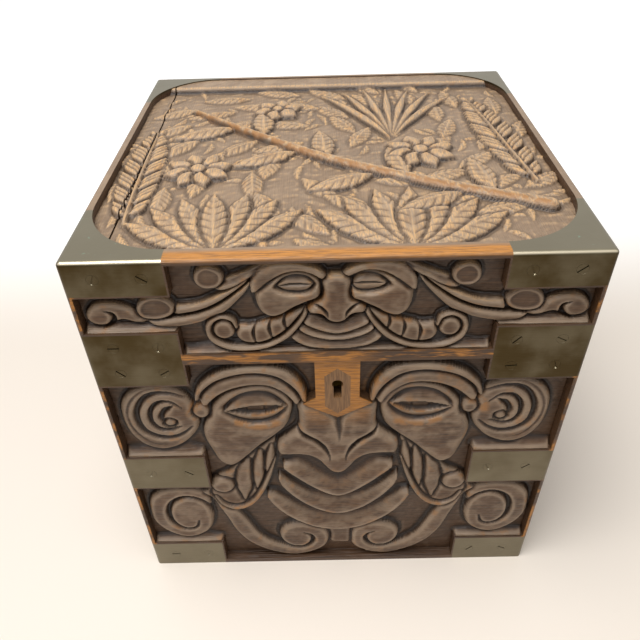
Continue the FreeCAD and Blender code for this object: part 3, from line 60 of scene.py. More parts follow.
Point = tuple[float, float]
Pair = tuple[float, float]
Outline = tuple[Point, ...]
Window = tuple[slice, slice]
Area = tuple[float, float, float, float]
Place = tuple[float, float, float]
SMOOTH = {"interpolation_type": "SMOOTHSTEP"}


def smooth_line(points: Sequence[Point], closed: bool = False, steps: int = 9) -> np.ndarray:
    """Carry a smooth line through points.

    Each span is the Catmull-Rom cubic of its two ends and their neighbours. An open line is
    carried on straight past its ends, a closed one goes round.

    Args:
        points: Places on the face in millimetres.
        closed: Whether the last point joins the first.
        steps: Pieces that each span is divided into.

    Returns:
        The points of the line, one row each.
    """
    knots = np.asarray(points, float)
    if closed:
        knots = np.vstack([knots[-1:], knots, knots[:2]])
    else:
        knots = np.vstack([2 * knots[0] - knots[1], knots, 2 * knots[-1] - knots[-2]])
    spans = (knots[:-3], knots[1:-2], knots[2:-1], knots[3:])
    before, start, end, after = (part[:, None, :] for part in spans)
    share = np.linspace(0, 1, steps, endpoint=False)[None, :, None]
    bend = 2 * before - 5 * start + 4 * end - after
    twist = 3 * start - before - 3 * end + after
    line = (start + ((end - before) + (bend + twist * share) * share) * share / 2).reshape(-1, 2)
    return line if closed else np.vstack([line, knots[-2]])


def nearest(u: np.ndarray, v: np.ndarray, line: np.ndarray) -> tuple[np.ndarray, np.ndarray, np.ndarray]:
    """Measure every grid point against a line of straight pieces.

    Args:
        u: Places across.
        v: Places up.
        line: Points of the line, in order.

    Returns:
        The distance to the line, the share of its length at the nearest place, and the side of
        the line, 1 on its left and -1 on its right.
    """
    runs = np.hypot(*np.diff(line, axis=0).T)
    ends = np.concatenate([[0.0], np.cumsum(runs)])
    gap = np.full(u.shape, np.inf)
    along = np.zeros(u.shape)
    side = np.ones(u.shape)
    for (x, y), (dx, dy), run, end in zip(line, np.diff(line, axis=0), runs, ends):
        if run == 0:
            continue
        share = np.clip(((u - x) * dx + (v - y) * dy) / run**2, 0, 1)
        here = np.hypot(u - x - share * dx, v - y - share * dy)
        closer = here < gap
        gap = np.where(closer, here, gap)
        along = np.where(closer, end + share * run, along)
        side = np.where(closer, np.where(dx * (v - y) - dy * (u - x) < 0, -1.0, 1.0), side)
    return gap, along / ends[-1], side


def within(u: np.ndarray, v: np.ndarray, ring: np.ndarray) -> np.ndarray:
    """Tell which grid points lie inside a closed line, by counting its crossings to the right.

    Args:
        u: Places across.
        v: Places up.
        ring: Points of the closed line.

    Returns:
        True where a point lies inside.
    """
    inside = np.zeros(u.shape, bool)
    for (x0, y0), (x1, y1) in zip(ring, np.roll(ring, -1, axis=0)):
        if y0 != y1:
            inside ^= ((y0 > v) != (y1 > v)) & (u < x0 + (v - y0) * (x1 - x0) / (y1 - y0))
    return inside


def blurred(field: np.ndarray, cells: int) -> np.ndarray:
    """Average a field over a square window, twice, by differences of its running sums.

    Args:
        field: Values on a grid.
        cells: Cells from the middle of the window to its edge.

    Returns:
        The averaged field.
    """
    width = 2 * cells + 1
    for axis in (0, 1, 0, 1):
        pads = [(cells + 1, cells) if axis == way else (0, 0) for way in (0, 1)]
        sums = np.cumsum(np.pad(field, pads, mode="edge"), axis=axis)
        count = sums.shape[axis]
        ahead = np.take(sums, range(width, count), axis)
        field = (ahead - np.take(sums, range(count - width), axis)) / width
    return field


def ripple(u: np.ndarray, v: np.ndarray, size: float, seed: int) -> np.ndarray:
    """Uneven waves of about one size: a sum of sines in seeded directions.

    Args:
        u: Places across.
        v: Places up.
        size: Length of the waves in millimetres.
        seed: Number that the directions are drawn from.

    Returns:
        Heights between about -1 and 1.
    """
    draw = np.random.default_rng(seed)
    waves = np.zeros(u.shape)
    turns, starts, stretches = draw.uniform(0, tau, 9), draw.uniform(0, tau, 9), draw.uniform(0.7, 1.6, 9)
    for turn, start, stretch in zip(turns, starts, stretches):
        waves += np.sin((u * cos(turn) + v * sin(turn)) * tau / (size * stretch) + start)
    return waves / 4


def graded(breaks: Iterable[float], step: float) -> np.ndarray:
    """Grid places that meet every break and stand at most one step apart.

    Args:
        breaks: Places that have a grid line of their own.
        step: Widest spacing.

    Returns:
        The places in order.
    """
    stops = sorted(breaks)
    counts = [int(np.ceil((high - low) / step)) for low, high in zip(stops, stops[1:])]
    runs = [np.linspace(*row, endpoint=False) for row in zip(stops, stops[1:], counts)]
    return np.concatenate([*runs, stops[-1:]])


def spaced(along: np.ndarray, values: Sequence[float]) -> np.ndarray:
    """Values that stand at even shares along a path, read at other shares."""
    return np.interp(along, np.linspace(0, 1, len(values)), values)


class Hand(Enum):
    """Left or right half of a carved face; outlines are written for the left."""

    LEFT = 1
    RIGHT = -1

    def place(self, points: Sequence[Point], shift: Point = (0.0, 0.0)) -> list[Point]:
        """Points on this half, the right one mirrored and moved by the shift.

        Args:
            points: The outline or path.
            shift: Move of the right half.

        Returns:
            The places on this half.
        """
        if self is Hand.LEFT:
            return list(points)
        return [(shift[0] - x, shift[1] + y) for x, y in points]


@dataclass
class Relief:
    """A carved height field over one face.

    Heights are in millimetres above the carved ground; forms are laid over what is there, each
    set in by a narrow trench along its outline, and grooves are cut from it. Outlines are written
    for the left half and placed on the field's hand; the carver's right half is moved by the shift.
    """

    across: np.ndarray
    up: np.ndarray
    floor: float = -0.45
    ceiling: float = 6.85
    trench_width: float = 2.2
    trench_depth: float = 0.9
    edge_blur: float = 0.9
    thinnest: float = 0.05
    hand: Hand = Hand.LEFT
    shift: Point = (0.0, 0.0)

    def __post_init__(self) -> None:
        """Start from a bare ground."""
        self.u, self.v = np.meshgrid(self.across, self.up)
        self.h = np.zeros_like(self.u)
        self.gilt = np.zeros_like(self.u)

    def at(self, hand: Hand, shift: Point = (0.0, 0.0)) -> "Relief":
        """The same field, for forms of one half that are written for the left.

        Args:
            hand: The half.
            shift: Move of the right half.

        Returns:
            A view of this field that shares its heights.
        """
        half = copy(self)
        half.hand = hand
        half.shift = shift
        return half

    def traced(self, points: Sequence[Point], closed: bool = False) -> np.ndarray:
        """Smooth line through points, on this field's half."""
        return smooth_line(self.hand.place(points, self.shift), closed)

    def gild(self, points: Sequence[Point], half: float) -> None:
        """Mark wood along a path as rubbed to its gold, fading out over a half width.

        Args:
            points: The outline or path.
            half: Half of the width.
        """
        line = self.traced(points)
        window = self.window(line, half)
        gap = nearest(self.u[window], self.v[window], line)[0]
        self.gilt[window] = np.maximum(self.gilt[window], np.clip(1.4 - 1.4 * gap / half, 0, 1))

    def window(self, line: np.ndarray, margin: float) -> Window:
        """Rows and columns of the grid that a line and a margin round it cover.

        Args:
            line: Points of the line.
            margin: Width round it.

        Returns:
            The rows and the columns.
        """
        low = line.min(axis=0) - margin
        high = line.max(axis=0) + margin
        rows = slice(*np.searchsorted(self.up, (low[1], high[1])))
        columns = slice(*np.searchsorted(self.across, (low[0], high[0])))
        return rows, columns

    def lay(self, window: Window, inner: np.ndarray, top: np.ndarray, over: bool = True) -> None:
        """Lay a form over the field.

        Outside the form's edge the field drops into a trench, and across the edge it blends into
        the form's own height.

        Args:
            window: Part of the grid that the form covers.
            inner: Distance inside the form's edge, negative outside.
            top: The form's height.
            over: Whether the form hides what is under it, or only rises out of it.
        """
        here = self.h[window]
        sunk = self.trench_depth * np.clip(1 + inner / self.trench_width, 0, 1)
        around = np.maximum(here - sunk, np.minimum(here, self.floor))
        weight = np.clip(0.5 + inner / self.edge_blur, 0, 1)
        laid = around + (np.minimum(top, self.ceiling) - around) * weight
        self.h[window] = laid if over else np.maximum(here, laid)

    def inside(self, ring: np.ndarray, margin: float) -> tuple[Window, np.ndarray]:
        """Measure how far grid points lie inside a closed line.

        Args:
            ring: Points of the line.
            margin: Width round the line that is measured too.

        Returns:
            The part of the grid that is measured, and the distances there, negative outside.
        """
        window = self.window(ring, margin)
        u, v = self.u[window], self.v[window]
        gap = nearest(u, v, np.vstack([ring, ring[:1]]))[0]
        return window, np.where(within(u, v, ring), gap, -gap)

    def cut(self, window: Window, deep: np.ndarray) -> None:
        """Take a depth off part of the field, down to its floor."""
        here = self.h[window]
        self.h[window] = np.maximum(here - deep, np.minimum(here, self.floor))

    def swell(self, points: Sequence[Point], height: float, shoulder: float, crown: float = 0.0,
              over: bool = True) -> None:
        """A rounded form: a quarter-round shoulder inside a closed outline, then a low crown.

        Args:
            points: The outline.
            height: Height of the shoulder's top.
            shoulder: Width of the shoulder.
            crown: Further rise towards the middle.
            over: Whether it hides what is under it.
        """
        window, inner = self.inside(self.traced(points, closed=True), self.trench_width + 1)
        share = np.clip(inner / shoulder, 0, 1)
        centred = np.clip(inner / inner.max(initial=shoulder), 0, 1)
        top = height * np.sqrt(1 - (1 - share) ** 2) + crown * (1 - (1 - centred) ** 2)
        self.lay(window, inner, top, over)

    def loft(self, first: Sequence[Point], second: Sequence[Point], heights: Sequence[Pair],
             over: bool = True) -> None:
        """A form between two edges, with a height that changes from one edge to the other.

        The share across is the distance to the first edge over the distance to both.

        Args:
            first: Edge where the share across is 0.
            second: Edge where it is 1, in the same direction.
            heights: Pairs of share and height that the section passes through.
            over: Whether it hides what is under it.
        """
        start, end = self.traced(first), self.traced(second)
        window, inner = self.inside(np.vstack([start, end[::-1]]), self.trench_width + 1)
        from_start, from_end = (nearest(self.u[window], self.v[window], edge)[0] for edge in (start, end))
        share = from_start / np.maximum(from_start + from_end, 1e-6)
        self.lay(window, inner, np.interp(share, *smooth_line(heights).T), over)

    def ribbon(self, points: Sequence[Point], halves: Sequence[float], heights: Sequence[float],
               detail: Callable | None = None) -> None:
        """A band carried along a path, a half ellipse across.

        Args:
            points: The path.
            halves: Half of the band's width at even shares along the path.
            heights: Its height at even shares along the path.
            detail: Change of height as a function of the share along and the share from the middle.
        """
        line = self.traced(points)
        window = self.window(line, max(halves) + self.trench_width + 1)
        gap, along, side = nearest(self.u[window], self.v[window], line)
        half = spaced(along, halves)
        share = np.clip(gap / np.maximum(half, self.thinnest), 0, 1)
        top = spaced(along, heights) * np.sqrt(1 - share**2)
        if detail is not None:
            top = top + detail(along, share * side)
        self.lay(window, half - gap, top)

    def groove(self, points: Sequence[Point], halves: Sequence[float], depth: float,
               sharp: bool = False) -> None:
        """A channel cut along a path, round-bottomed or sharp.

        Args:
            points: The path.
            halves: Half of the channel's width at even shares along the path.
            depth: Depth where the channel is widest.
            sharp: Whether the channel has a sharp bottom.
        """
        line = self.traced(points)
        window = self.window(line, max(halves) + 1)
        gap, along, _ = nearest(self.u[window], self.v[window], line)
        half = spaced(along, halves)
        share = np.clip(gap / np.maximum(half, self.thinnest), 0, 1)
        shape = 1 - share if sharp else (1 - share**2) ** 1.5
        self.cut(window, depth * half / max(halves) * shape)

    def ledge(self, left: float, right: float, low: float, width: float, height: float) -> None:
        """Ground that slopes up to a low edge, over a wavering width.

        Args:
            left: Left end.
            right: Right end.
            low: Height of the edge.
            width: Usual width of the slope.
            height: Greatest height.
        """
        reach = width * (1 + 0.35 * ripple(self.u, 0 * self.v, size=37, seed=21))
        slope = height * np.clip(1 - (self.v - low) / reach, 0, 1)
        inside = np.clip(np.minimum(self.u - left, right - self.u) / 2, 0, 1) * (self.v >= low)
        np.maximum(self.h, slope * inside, out=self.h)

    def dish(self, points: Sequence[Point], depth: float, shoulder: float) -> None:
        """A hollow with a closed outline that deepens over its shoulder.

        Args:
            points: The outline or path.
            depth: Greatest depth.
            shoulder: Width over which it deepens.
        """
        window, inner = self.inside(self.traced(points, closed=True), 1)
        share = np.clip(inner / shoulder, 0, 1)
        self.cut(window, depth * share**2 * (3 - 2 * share))


class Face(Enum):
    """Faces of the box as the directions right, up and outward of someone who looks at them."""

    FRONT = ((1, 0, 0), (0, 0, 1), (0, -1, 0))
    RIGHT = ((0, 1, 0), (0, 0, 1), (1, 0, 0))
    LEFT = ((0, -1, 0), (0, 0, 1), (-1, 0, 0))
    TOP = ((1, 0, 0), (0, 1, 0), (0, 0, 1))

    def places(self, u: np.ndarray, v: np.ndarray, out: np.ndarray | float) -> np.ndarray:
        """Points in metres of places across, up and outward in millimetres, one row each.

        Args:
            u: Places across.
            v: Places up.
            out: Places outward.

        Returns:
            The points.
        """
        right, up, outward = (np.array(way, float) for way in self.value)
        out = np.broadcast_to(out, np.shape(u))
        return (u.reshape(-1, 1) * right + v.reshape(-1, 1) * up + out.reshape(-1, 1) * outward) * MM


@dataclass
class CarvedField:
    """One carved face: the slab in its sunk field.

    The fields are the face's distance from the origin, the depth of the sunk field and of the
    carved ground, the grid's spacing and the share of uneven tooling.
    """

    name: str
    body: str
    face: Face
    out: float
    field_depth: float = 7.5
    ground_depth: float = 6.9
    step: float = 0.74
    clearance: float = 0.03
    tooling: float = 0.14
    seed: int = 3
    node: str = ""
    ledge_half: float = 25.0

    def areas(self) -> list[Area]:
        """Left, right, low and high of the rectangles that make up the field."""
        raise NotImplementedError

    def holes(self) -> list[Area]:
        """Left, right, low and high of rectangles that are left out of the field."""
        return []

    def carve(self, relief: Relief) -> None:
        """Lay the forms of this face."""
        raise NotImplementedError

    def trimmed(self, u: np.ndarray, v: np.ndarray) -> np.ndarray:
        """Which cell middles belong to the slab.

        Args:
            u: Places across.
            v: Places up.

        Returns:
            True for each cell that belongs.
        """
        keep = np.zeros(u.shape, bool)
        for left, right, low, high in self.areas():
            keep |= (u > left) & (u < right) & (v > low) & (v < high)
        for left, right, low, high in self.holes():
            keep &= ~((u > left) & (u < right) & (v > low) & (v < high))
        return keep

    def build(self) -> bpy.types.Object:
        """Carve the face and make its closed slab.

        The outer face is the height field on the grid. Walls run from its rim to the floor of the
        sunk field, and one flat face closes the slab there.

        Returns:
            The slab, riding on its body.
        """
        rectangles = self.areas() + self.holes()
        across = graded({edge for row in rectangles for edge in row[:2]}, self.step)
        up = graded({edge for row in rectangles for edge in row[2:]}, self.step)
        relief = Relief(across, up, ceiling=self.ground_depth - 0.05)
        relief.h += self.tooling * ripple(relief.u, relief.v, size=9, seed=self.seed)
        self.carve(relief)
        relief.h += self.tooling * 0.35 * ripple(relief.u, relief.v, size=4.5, seed=self.seed + 1)
        relief.h = np.clip(relief.h, relief.floor, relief.ceiling)
        middle_u = (across[:-1] + across[1:]) / 2
        middle_v = (up[:-1] + up[1:]) / 2
        keep = self.trimmed(*np.meshgrid(middle_u, middle_v))
        return self.slab(relief, keep)

    def slab(self, relief: Relief, keep: np.ndarray) -> bpy.types.Object:
        """Turn a carved height field into a closed mesh that rides on the field's body.

        Args:
            relief: The carved field.
            keep: Cells of the grid that belong to the slab.

        Returns:
            The new object.
        """
        index = np.arange(relief.u.size).reshape(relief.u.shape)
        low_left, low_right = index[:-1, :-1], index[:-1, 1:]
        high_left, high_right = index[1:, :-1], index[1:, 1:]
        quads = np.stack([low_left, low_right, high_right, high_left], axis=-1)[keep]
        ringed = np.pad(keep, 1)
        rims = (
            (low_left, low_right, ringed[:-2, 1:-1]), (high_right, high_left, ringed[2:, 1:-1]),
            (high_left, low_left, ringed[1:-1, :-2]), (low_right, high_right, ringed[1:-1, 2:]),
        )
        edges = np.concatenate([np.stack([a, b], axis=-1)[keep & ~beside] for a, b, beside in rims])
        used, numbers = np.unique(quads, return_inverse=True)
        quads = numbers.reshape(quads.shape)
        edges = np.searchsorted(used, edges)
        rim, places = np.unique(edges, return_inverse=True)
        feet = places.reshape(edges.shape) + len(used)
        walls = np.stack([edges[:, 1], edges[:, 0], feet[:, 0], feet[:, 1]], axis=-1)
        u, v = relief.u.ravel()[used], relief.v.ravel()[used]
        ground = self.out - self.ground_depth
        outer = self.face.places(u, v, ground + relief.h.ravel()[used])
        under = self.face.places(u[rim], v[rim], self.out - self.field_depth + self.clearance)
        mesh = bpy.data.meshes.new(self.name)
        mesh.from_pydata(np.vstack([outer, under]), [], np.vstack([quads, walls]))
        shell = bmesh.new()
        shell.from_mesh(mesh)
        bmesh.ops.holes_fill(shell, edges=[edge for edge in shell.edges if edge.is_boundary], sides=0)
        shell.to_mesh(mesh)
        shell.free()
        smooth = np.zeros(len(mesh.polygons), bool)
        smooth[:len(quads)] = True
        mesh.polygons.foreach_set("use_smooth", smooth)
        for label, values in self.wear_and_shading(relief).items():
            layer = mesh.attributes.new(label, "FLOAT", "POINT")
            layer.data.foreach_set("value", np.concatenate([values.ravel()[used], np.zeros(len(rim))]))
        piece = bpy.data.objects.new(self.name, mesh)
        bpy.context.scene.collection.objects.link(piece)
        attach(piece, self.body)
        if self.node:
            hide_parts(self.node)
        LOG.info("%s: %d faces", self.name, len(mesh.polygons))
        return piece

    def wear_and_shading(self, relief: Relief) -> dict[str, np.ndarray]:
        """Attributes that the finish reads for wear, painted shade and painted highlights.

        Hollows are where the surface lies under the average of its surroundings, crests where it
        stands over a closer average, and the rise is the height over the ground. The hollows, the
        creases and the low ground carry painted shade, the crests a painted sheen.

        Args:
            relief: The carved field.

        Returns:
            Values from 0 to 1 by attribute name.
        """
        wide = blurred(relief.h, max(2, round(3.2 / self.step)))
        close = blurred(relief.h, max(1, round(1.3 / self.step)))
        return {
            "hollow": np.clip((wide - relief.h) / (0.27 * relief.ceiling), 0, 1),
            "crest": np.clip((relief.h - close) / (0.07 * relief.ceiling), 0, 1),
            "rise": np.clip(relief.h / relief.ceiling, 0, 1),
            "crease": np.clip((close - relief.h) / (0.06 * relief.ceiling), 0, 1),
            "gilt": relief.gilt,
        }


def whole(half: Outline) -> list[Point]:
    """A whole line from its left half, which ends on the middle."""
    return list(half) + [(-x, y) for x, y in reversed(half[:-1])]


def mirrored(half: Outline) -> list[Point]:
    """A closed outline from its left half, which begins and ends on the middle."""
    return list(half) + [(-x, y) for x, y in reversed(half[1:-1])]


def squeezed(points: Sequence[Point], share: float) -> list[Point]:
    """Points drawn in towards the middle by a share."""
    return [(x * share, y) for x, y in points]


def shrunk(points: Sequence[Point], share: float) -> list[Point]:
    """Points drawn in towards their own middle by a share."""
    middle = np.mean(points, axis=0)
    return [tuple(middle + share * (np.array(point) - middle)) for point in points]


def turned(middle: Point, reach: float, angle: float) -> Point:
    """Place at a distance and an angle in degrees from a middle."""
    return middle[0] + reach * cos(radians(angle)), middle[1] + reach * sin(radians(angle))


def circle(middle: Point, radius: float) -> list[Point]:
    """Eight places round a middle, for a round outline."""
    return [turned(middle, radius, angle) for angle in range(0, 360, 45)]


def leaf(relief: Relief, base: Point, angle: float, length: float, half: float, height: float,
         bend: float = 0.0, veins: int = 6) -> None:
    """A leaf: a round band that swells from its base and ends in a point.

    A midrib runs along it, and veins are cut slanting from the midrib to the edges.

    Args:
        relief: Field that the leaf is laid on.
        base: Where it begins.
        angle: Its direction in degrees.
        length: Its length.
        half: Half of its greatest width.
        height: Its greatest height.
        bend: Change of direction on the way to its tip, in degrees.
        veins: Number of veins on each side.
    """
    def ribs(along: np.ndarray, across: np.ndarray) -> np.ndarray:
        """Rise of the midrib, less the cosine waves of the veins.

        Args:
            along: Shares along the leaf.
            across: Shares from its middle.

        Returns:
            The change of height.
        """
        away = np.abs(across)
        slant = np.clip(np.cos(tau * (veins * along - 1.3 * away)), 0, 1)
        cuts = 0.75 * slant**5 * np.clip(away * 3, 0, 1) * (veins > 0)
        return 0.4 * np.clip(1 - away / 0.16, 0, 1) - cuts

    path = [turned(base, length * share, angle + bend * share) for share in (0, 0.25, 0.5, 0.75, 1)]
    relief.ribbon(path, half * np.array((0.2, 0.75, 1, 0.92, 0.62, 0.06)),
                  height * np.array((0.6, 0.9, 1, 0.95, 0.8, 0.5)), ribs)


def blossom(relief: Relief, middle: Point, radius: float, petals: int, height: float) -> None:
    """A flower of pointed petals round a ball.

    Args:
        relief: Field that the forms are laid on.
        middle: The flower's middle.
        radius: Its radius.
        petals: Number of petals.
        height: Greatest height.
    """
    for turn in range(petals):
        angle = 360 * turn / petals + 18
        base = turned(middle, radius * 0.18, angle)
        leaf(relief, base, angle, radius * 0.84, radius * sin(pi / petals) * 0.8, height, veins=0)
    relief.swell(circle(middle, radius * 0.27), height * 1.05, radius * 0.2)


def frond(relief: Relief, path: Sequence[Point], length: float, pairs: int, half: float,
          height: float) -> None:
    """A fern: leaflets in pairs along a stem, longest near its middle.

    Args:
        relief: Field that the fern is laid on.
        path: The stem.
        length: Length of the longest leaflets.
        pairs: Number of pairs of leaflets.
        half: Half of a leaflet's width.
        height: Height of the leaflets.
    """
    line = smooth_line(path)
    ways = np.gradient(line, axis=0)
    for share in np.linspace(0.95, 0.08, pairs):
        spot = round(share * (len(line) - 1))
        heading = degrees(np.arctan2(ways[spot][1], ways[spot][0]))
        for side in (-1, 1):
            reach = length * sin(pi * (0.2 + 0.72 * share))
            base = tuple(line[spot])
            leaf(relief, base, heading + side * 55, reach, half, height, bend=-side * 16, veins=0)
    relief.ribbon(path, (half * 0.5, half * 0.4, half * 0.2), (height * 1.1, height, height * 0.8))


@dataclass
class CaseFront(CarvedField):
    """The grotesque mask of the case front, with its ears, locks of leaves and scrolls."""

    reach: float = 132.0
    strap_end: float = 83.0
    low: float = 4.0
    high: float = 202.0
    foot: float = 27.0
    mid: Pair = (92.0, 123.5)
    seam: float = 186.0
    plaque: Pair = (11.5, 173.0)
    ear: Outline = (
        (-128, 157), (-126, 170), (-118, 180), (-105, 185), (-95, 183), (-88, 177), (-84, 168),
        (-82, 158), (-83, 148), (-89, 138), (-97, 131), (-108, 127.5), (-119, 132), (-126, 143),
    )
    ear_grooves: tuple[Outline, ...] = (
        (
            (-88, 174), (-96, 178), (-105, 178), (-113, 172.5), (-118.3, 161), (-117, 149), (-110, 142),
            (-101, 140.5), (-93, 144), (-87, 150),
        ),
        (
            (-91, 166), (-97, 171), (-104, 170.5), (-109.5, 164), (-110.5, 155), (-106.5, 148.5),
            (-100, 147), (-93, 150.5),
        ),
        ((-96, 168), (-101, 164), (-104, 158.5), (-103.5, 153.5)),
    )
    ear_ball: Outline = (
        (-104, 153), (-100.5, 157.5), (-96, 155.5), (-95.5, 151.5), (-99, 149), (-102.5, 150),
    )
    ear_line: Outline = (
        (-92, 181), (-106, 182), (-117, 175.5), (-123.5, 163), (-122.5, 149), (-114.5, 137),
        (-104, 133.5),
    )
    brow_outer: Outline = (
        (-82.5, 174), (-79.5, 182.5), (-71.5, 191), (-61, 196.5), (-49, 199), (-37, 198.3), (-28.5, 195),
        (-22.5, 188.5), (-18.5, 180), (-17.3, 170),
    )
    brow_parting: Outline = (
        (-80, 171.5), (-77, 178.5), (-69, 186), (-59, 190.3), (-47.5, 192), (-37, 190), (-29.5, 184.5),
        (-24, 177.5), (-21, 170),
    )
    brow_inner: Outline = (
        (-76.5, 166.5), (-72, 172), (-66, 177), (-58, 181), (-49, 183), (-40, 182.5), (-33, 178.5),
        (-28, 173), (-24.5, 166.5),
    )
    cheek: Outline = (
        (-78, 155), (-81.5, 146), (-81.5, 137), (-79, 127), (-76, 117), (-72, 112), (-67, 110.5),
        (-62, 113.5), (-55, 121), (-47, 130), (-38.5, 138), (-31, 146.5), (-27.5, 156), (-26, 167),
        (-30, 177), (-40, 182), (-52, 182), (-64, 177), (-73, 167),
    )
    socket: Outline = (
        (-71, 165), (-63, 176), (-50, 182), (-37, 181), (-28, 172), (-27, 161), (-35, 152.5),
        (-47, 149.5), (-60, 154),
    )
    eye_upper: Outline = (
        (-66.5, 162.6), (-62, 169.5), (-55.5, 174.6), (-47, 176), (-38.5, 173), (-33, 168.5),
        (-29.7, 165.8),
    )
    eye_lower: Outline = (
        (-66.5, 162.6), (-60.5, 156.8), (-54, 153.3), (-46, 152.5), (-38.5, 155.3), (-32.8, 160.8),
        (-29.7, 165.8),
    )
    lid_edge: Outline = ((-66, 162.6), (-58, 165.3), (-49, 167), (-39, 167.2), (-30.2, 165.8))
    lower_lid: Outline = ((-66, 162.4), (-58, 160.2), (-50, 158.4), (-41, 159.3), (-30.2, 165.6))
    iris: Pair = (-53.5, -43.0)
    iris_ends: Pair = (165.5, 159.0)
    temple: Outline = ((-86, 160.5), (-84, 166), (-78, 167.5), (-74.6, 163), (-76, 157.5), (-81.5, 155.5))
    nose: Outline = (
        (0, 158), (-6, 163), (-12, 167), (-23, 167), (-23.5, 157), (-24, 148), (-29, 141.5), (-36, 135.5),
        (-38.3, 129), (-37, 121.5), (-32, 120), (-25, 120), (-18, 118.5), (-12.5, 114), (-8.8, 108),
        (-4.8, 102.8), (0, 101),
    )
    nostril: Outline = ((-24.5, 146), (-19.5, 140), (-13, 135), (-8.2, 128.5), (-5.6, 122), (-4.8, 116))
    mouth: tuple[tuple[Outline, Outline], ...] = (
        (
            ((-46.5, 83), (-41, 82), (-33, 76), (-24, 68), (-14, 62), (0, 60)),
            ((-47.5, 79), (-44.5, 71), (-38, 60.5), (-28.5, 50.5), (-15.5, 42), (0, 38.6)),
        ),
        (
            ((-38, 101), (-33.5, 98), (-27, 91.5), (-18, 84), (-9, 80.5), (0, 79.5)),
            ((-39, 97), (-36, 88.5), (-28, 76.5), (-17.5, 65.8), (-8, 60), (0, 58)),
        ),
        (
            ((-35, 113), (-31, 115), (-25, 116.5), (-18, 113), (-9, 104), (0, 98)),
            ((-35, 109), (-31, 103.5), (-24, 95.5), (-15, 86.8), (-7, 80.8), (0, 78.4)),
        ),
    )
    lock: Outline = (
        (-38.5, 136), (-48, 129), (-56, 121), (-63, 113), (-70, 105), (-79, 99), (-84, 90), (-85, 81),
        (-81.5, 72), (-75.5, 65.5), (-68, 63.3), (-60.5, 66.8), (-53.7, 74.5), (-49, 85), (-44.8, 99),
        (-41.2, 111), (-38.3, 122),
    )
    lock_lobes: tuple[tuple[Outline, float], ...] = (
        (((-57.5, 115), (-61, 96), (-62.5, 75)), 7.0),
        (((-48.5, 124), (-50.5, 107), (-53.2, 86)), 5.0),
        (((-41, 130), (-43, 117), (-46, 100)), 3.2),
    )
    lock_rim: Outline = (
        (-40, 115), (-45, 99), (-49.8, 86), (-55.5, 75), (-62.5, 68), (-70, 66), (-77.5, 70), (-82, 78),
    )
    lock_ball: Point = (-75.8, 90.5)
    scroll_outer: Outline = (
        (-91, 84.5), (-86, 78), (-81, 66), (-77, 53), (-72, 36), (-63.5, 21.5), (-50, 10.5), (-34, 5),
        (-19, 8),
    )
    scroll_inner: Outline = (
        (-84, 88), (-77, 78), (-70.5, 66), (-64, 52), (-57, 34), (-49.5, 24), (-40, 18), (-30, 15.5),
        (-22, 18),
    )
    corner: Outline = (
        (-129.5, 60), (-127, 76.5), (-117, 86.5), (-103, 89.2), (-91, 86), (-86, 77), (-86.5, 66),
        (-86.3, 53), (-90, 40.5), (-99, 32.5), (-110, 31), (-121, 38), (-128, 49),
    )
    corner_groove: Outline = (
        (-85.6, 56), (-87.5, 66), (-91, 74), (-97.5, 78.4), (-105, 78.4), (-112.2, 73.2), (-116.2, 63.5),
        (-115.6, 52.5), (-111, 45), (-104.5, 42.4), (-99, 45.2), (-96.8, 52.5),
    )
    chin_disc: Outline = (
        (-5.8, 26), (-7.2, 35), (-12.5, 41.5), (-20, 45), (-29, 45.3), (-37, 42), (-41.8, 35),
        (-42.3, 27), (-39, 19), (-31, 12), (-20, 8.5), (-10, 15),
    )
    chin_groove: Outline = (
        (-24.5, 35), (-20, 32), (-18.2, 26.5), (-20.5, 20.5), (-26, 16.6), (-33, 17), (-39, 21.5),
        (-43, 29), (-42.5, 38),
    )
    chin_block: Outline = ((-8, 44), (-6.5, 30), (-6, 20), (0, 18), (8, 18.5), (9.5, 30), (8, 44))
    lip_section: tuple[Pair, ...] = ((0, 0.2), (0.13, 0.9), (0.36, 4.4), (0.66, 6.1), (0.92, 6.3), (1, 4.8))
    scroll_section: tuple[Pair, ...] = ((0, 3.6), (0.2, 5.1), (0.5, 5.6), (0.8, 5.1), (1, 3.4))
    eye_section: tuple[Pair, ...] = ((0, 1.2), (0.25, 4.4), (0.5, 5.6), (0.75, 5.2), (0.93, 3.8), (1, 2.2))
    upper_brow_section: tuple[Pair, ...] = ((0, 4.2), (0.2, 6.2), (0.5, 6.5), (0.8, 5.6), (1, 3.2))
    lower_brow_section: tuple[Pair, ...] = ((0, 3.0), (0.25, 5.2), (0.55, 5.9), (0.85, 5.4), (1, 4.0))
    bridge: Outline = ((0.5, 160), (0.5, 152), (1, 144), (1, 134))
    ear_groove_halves: tuple[float, ...] = (2.7, 2.1, 2.6)
    ear_shift: Point = (-3.0, 0.5)
    corner_shift: Point = (0.5, 0.0)
    chin_shift: Point = (1.0, 0.0)
    cheek_shift: Point = (-2.0, 0.0)
    socket_shift: Point = (-1.0, 0.5)
    eye_shift: Point = (0.5, 0.6)
    brow_shift: Point = (1.0, 0.0)
    temple_shift: Point = (-3.0, 0.0)

    def areas(self) -> list[Area]:
        """The middle between the straps, and the stretches beside it that reach the edges.

        Returns:
            The rectangles.
        """
        rows = [(self.foot, self.mid[0]), (self.mid[1], self.seam)]
        middle = (-self.strap_end, self.strap_end, self.low, self.high)
        return [middle, *((-self.reach, self.reach, *row) for row in rows)]

    def holes(self) -> list[Area]:
        """The plaque that is left standing round the keyhole."""
        return [(-self.plaque[0], self.plaque[0], self.plaque[1], self.high)]

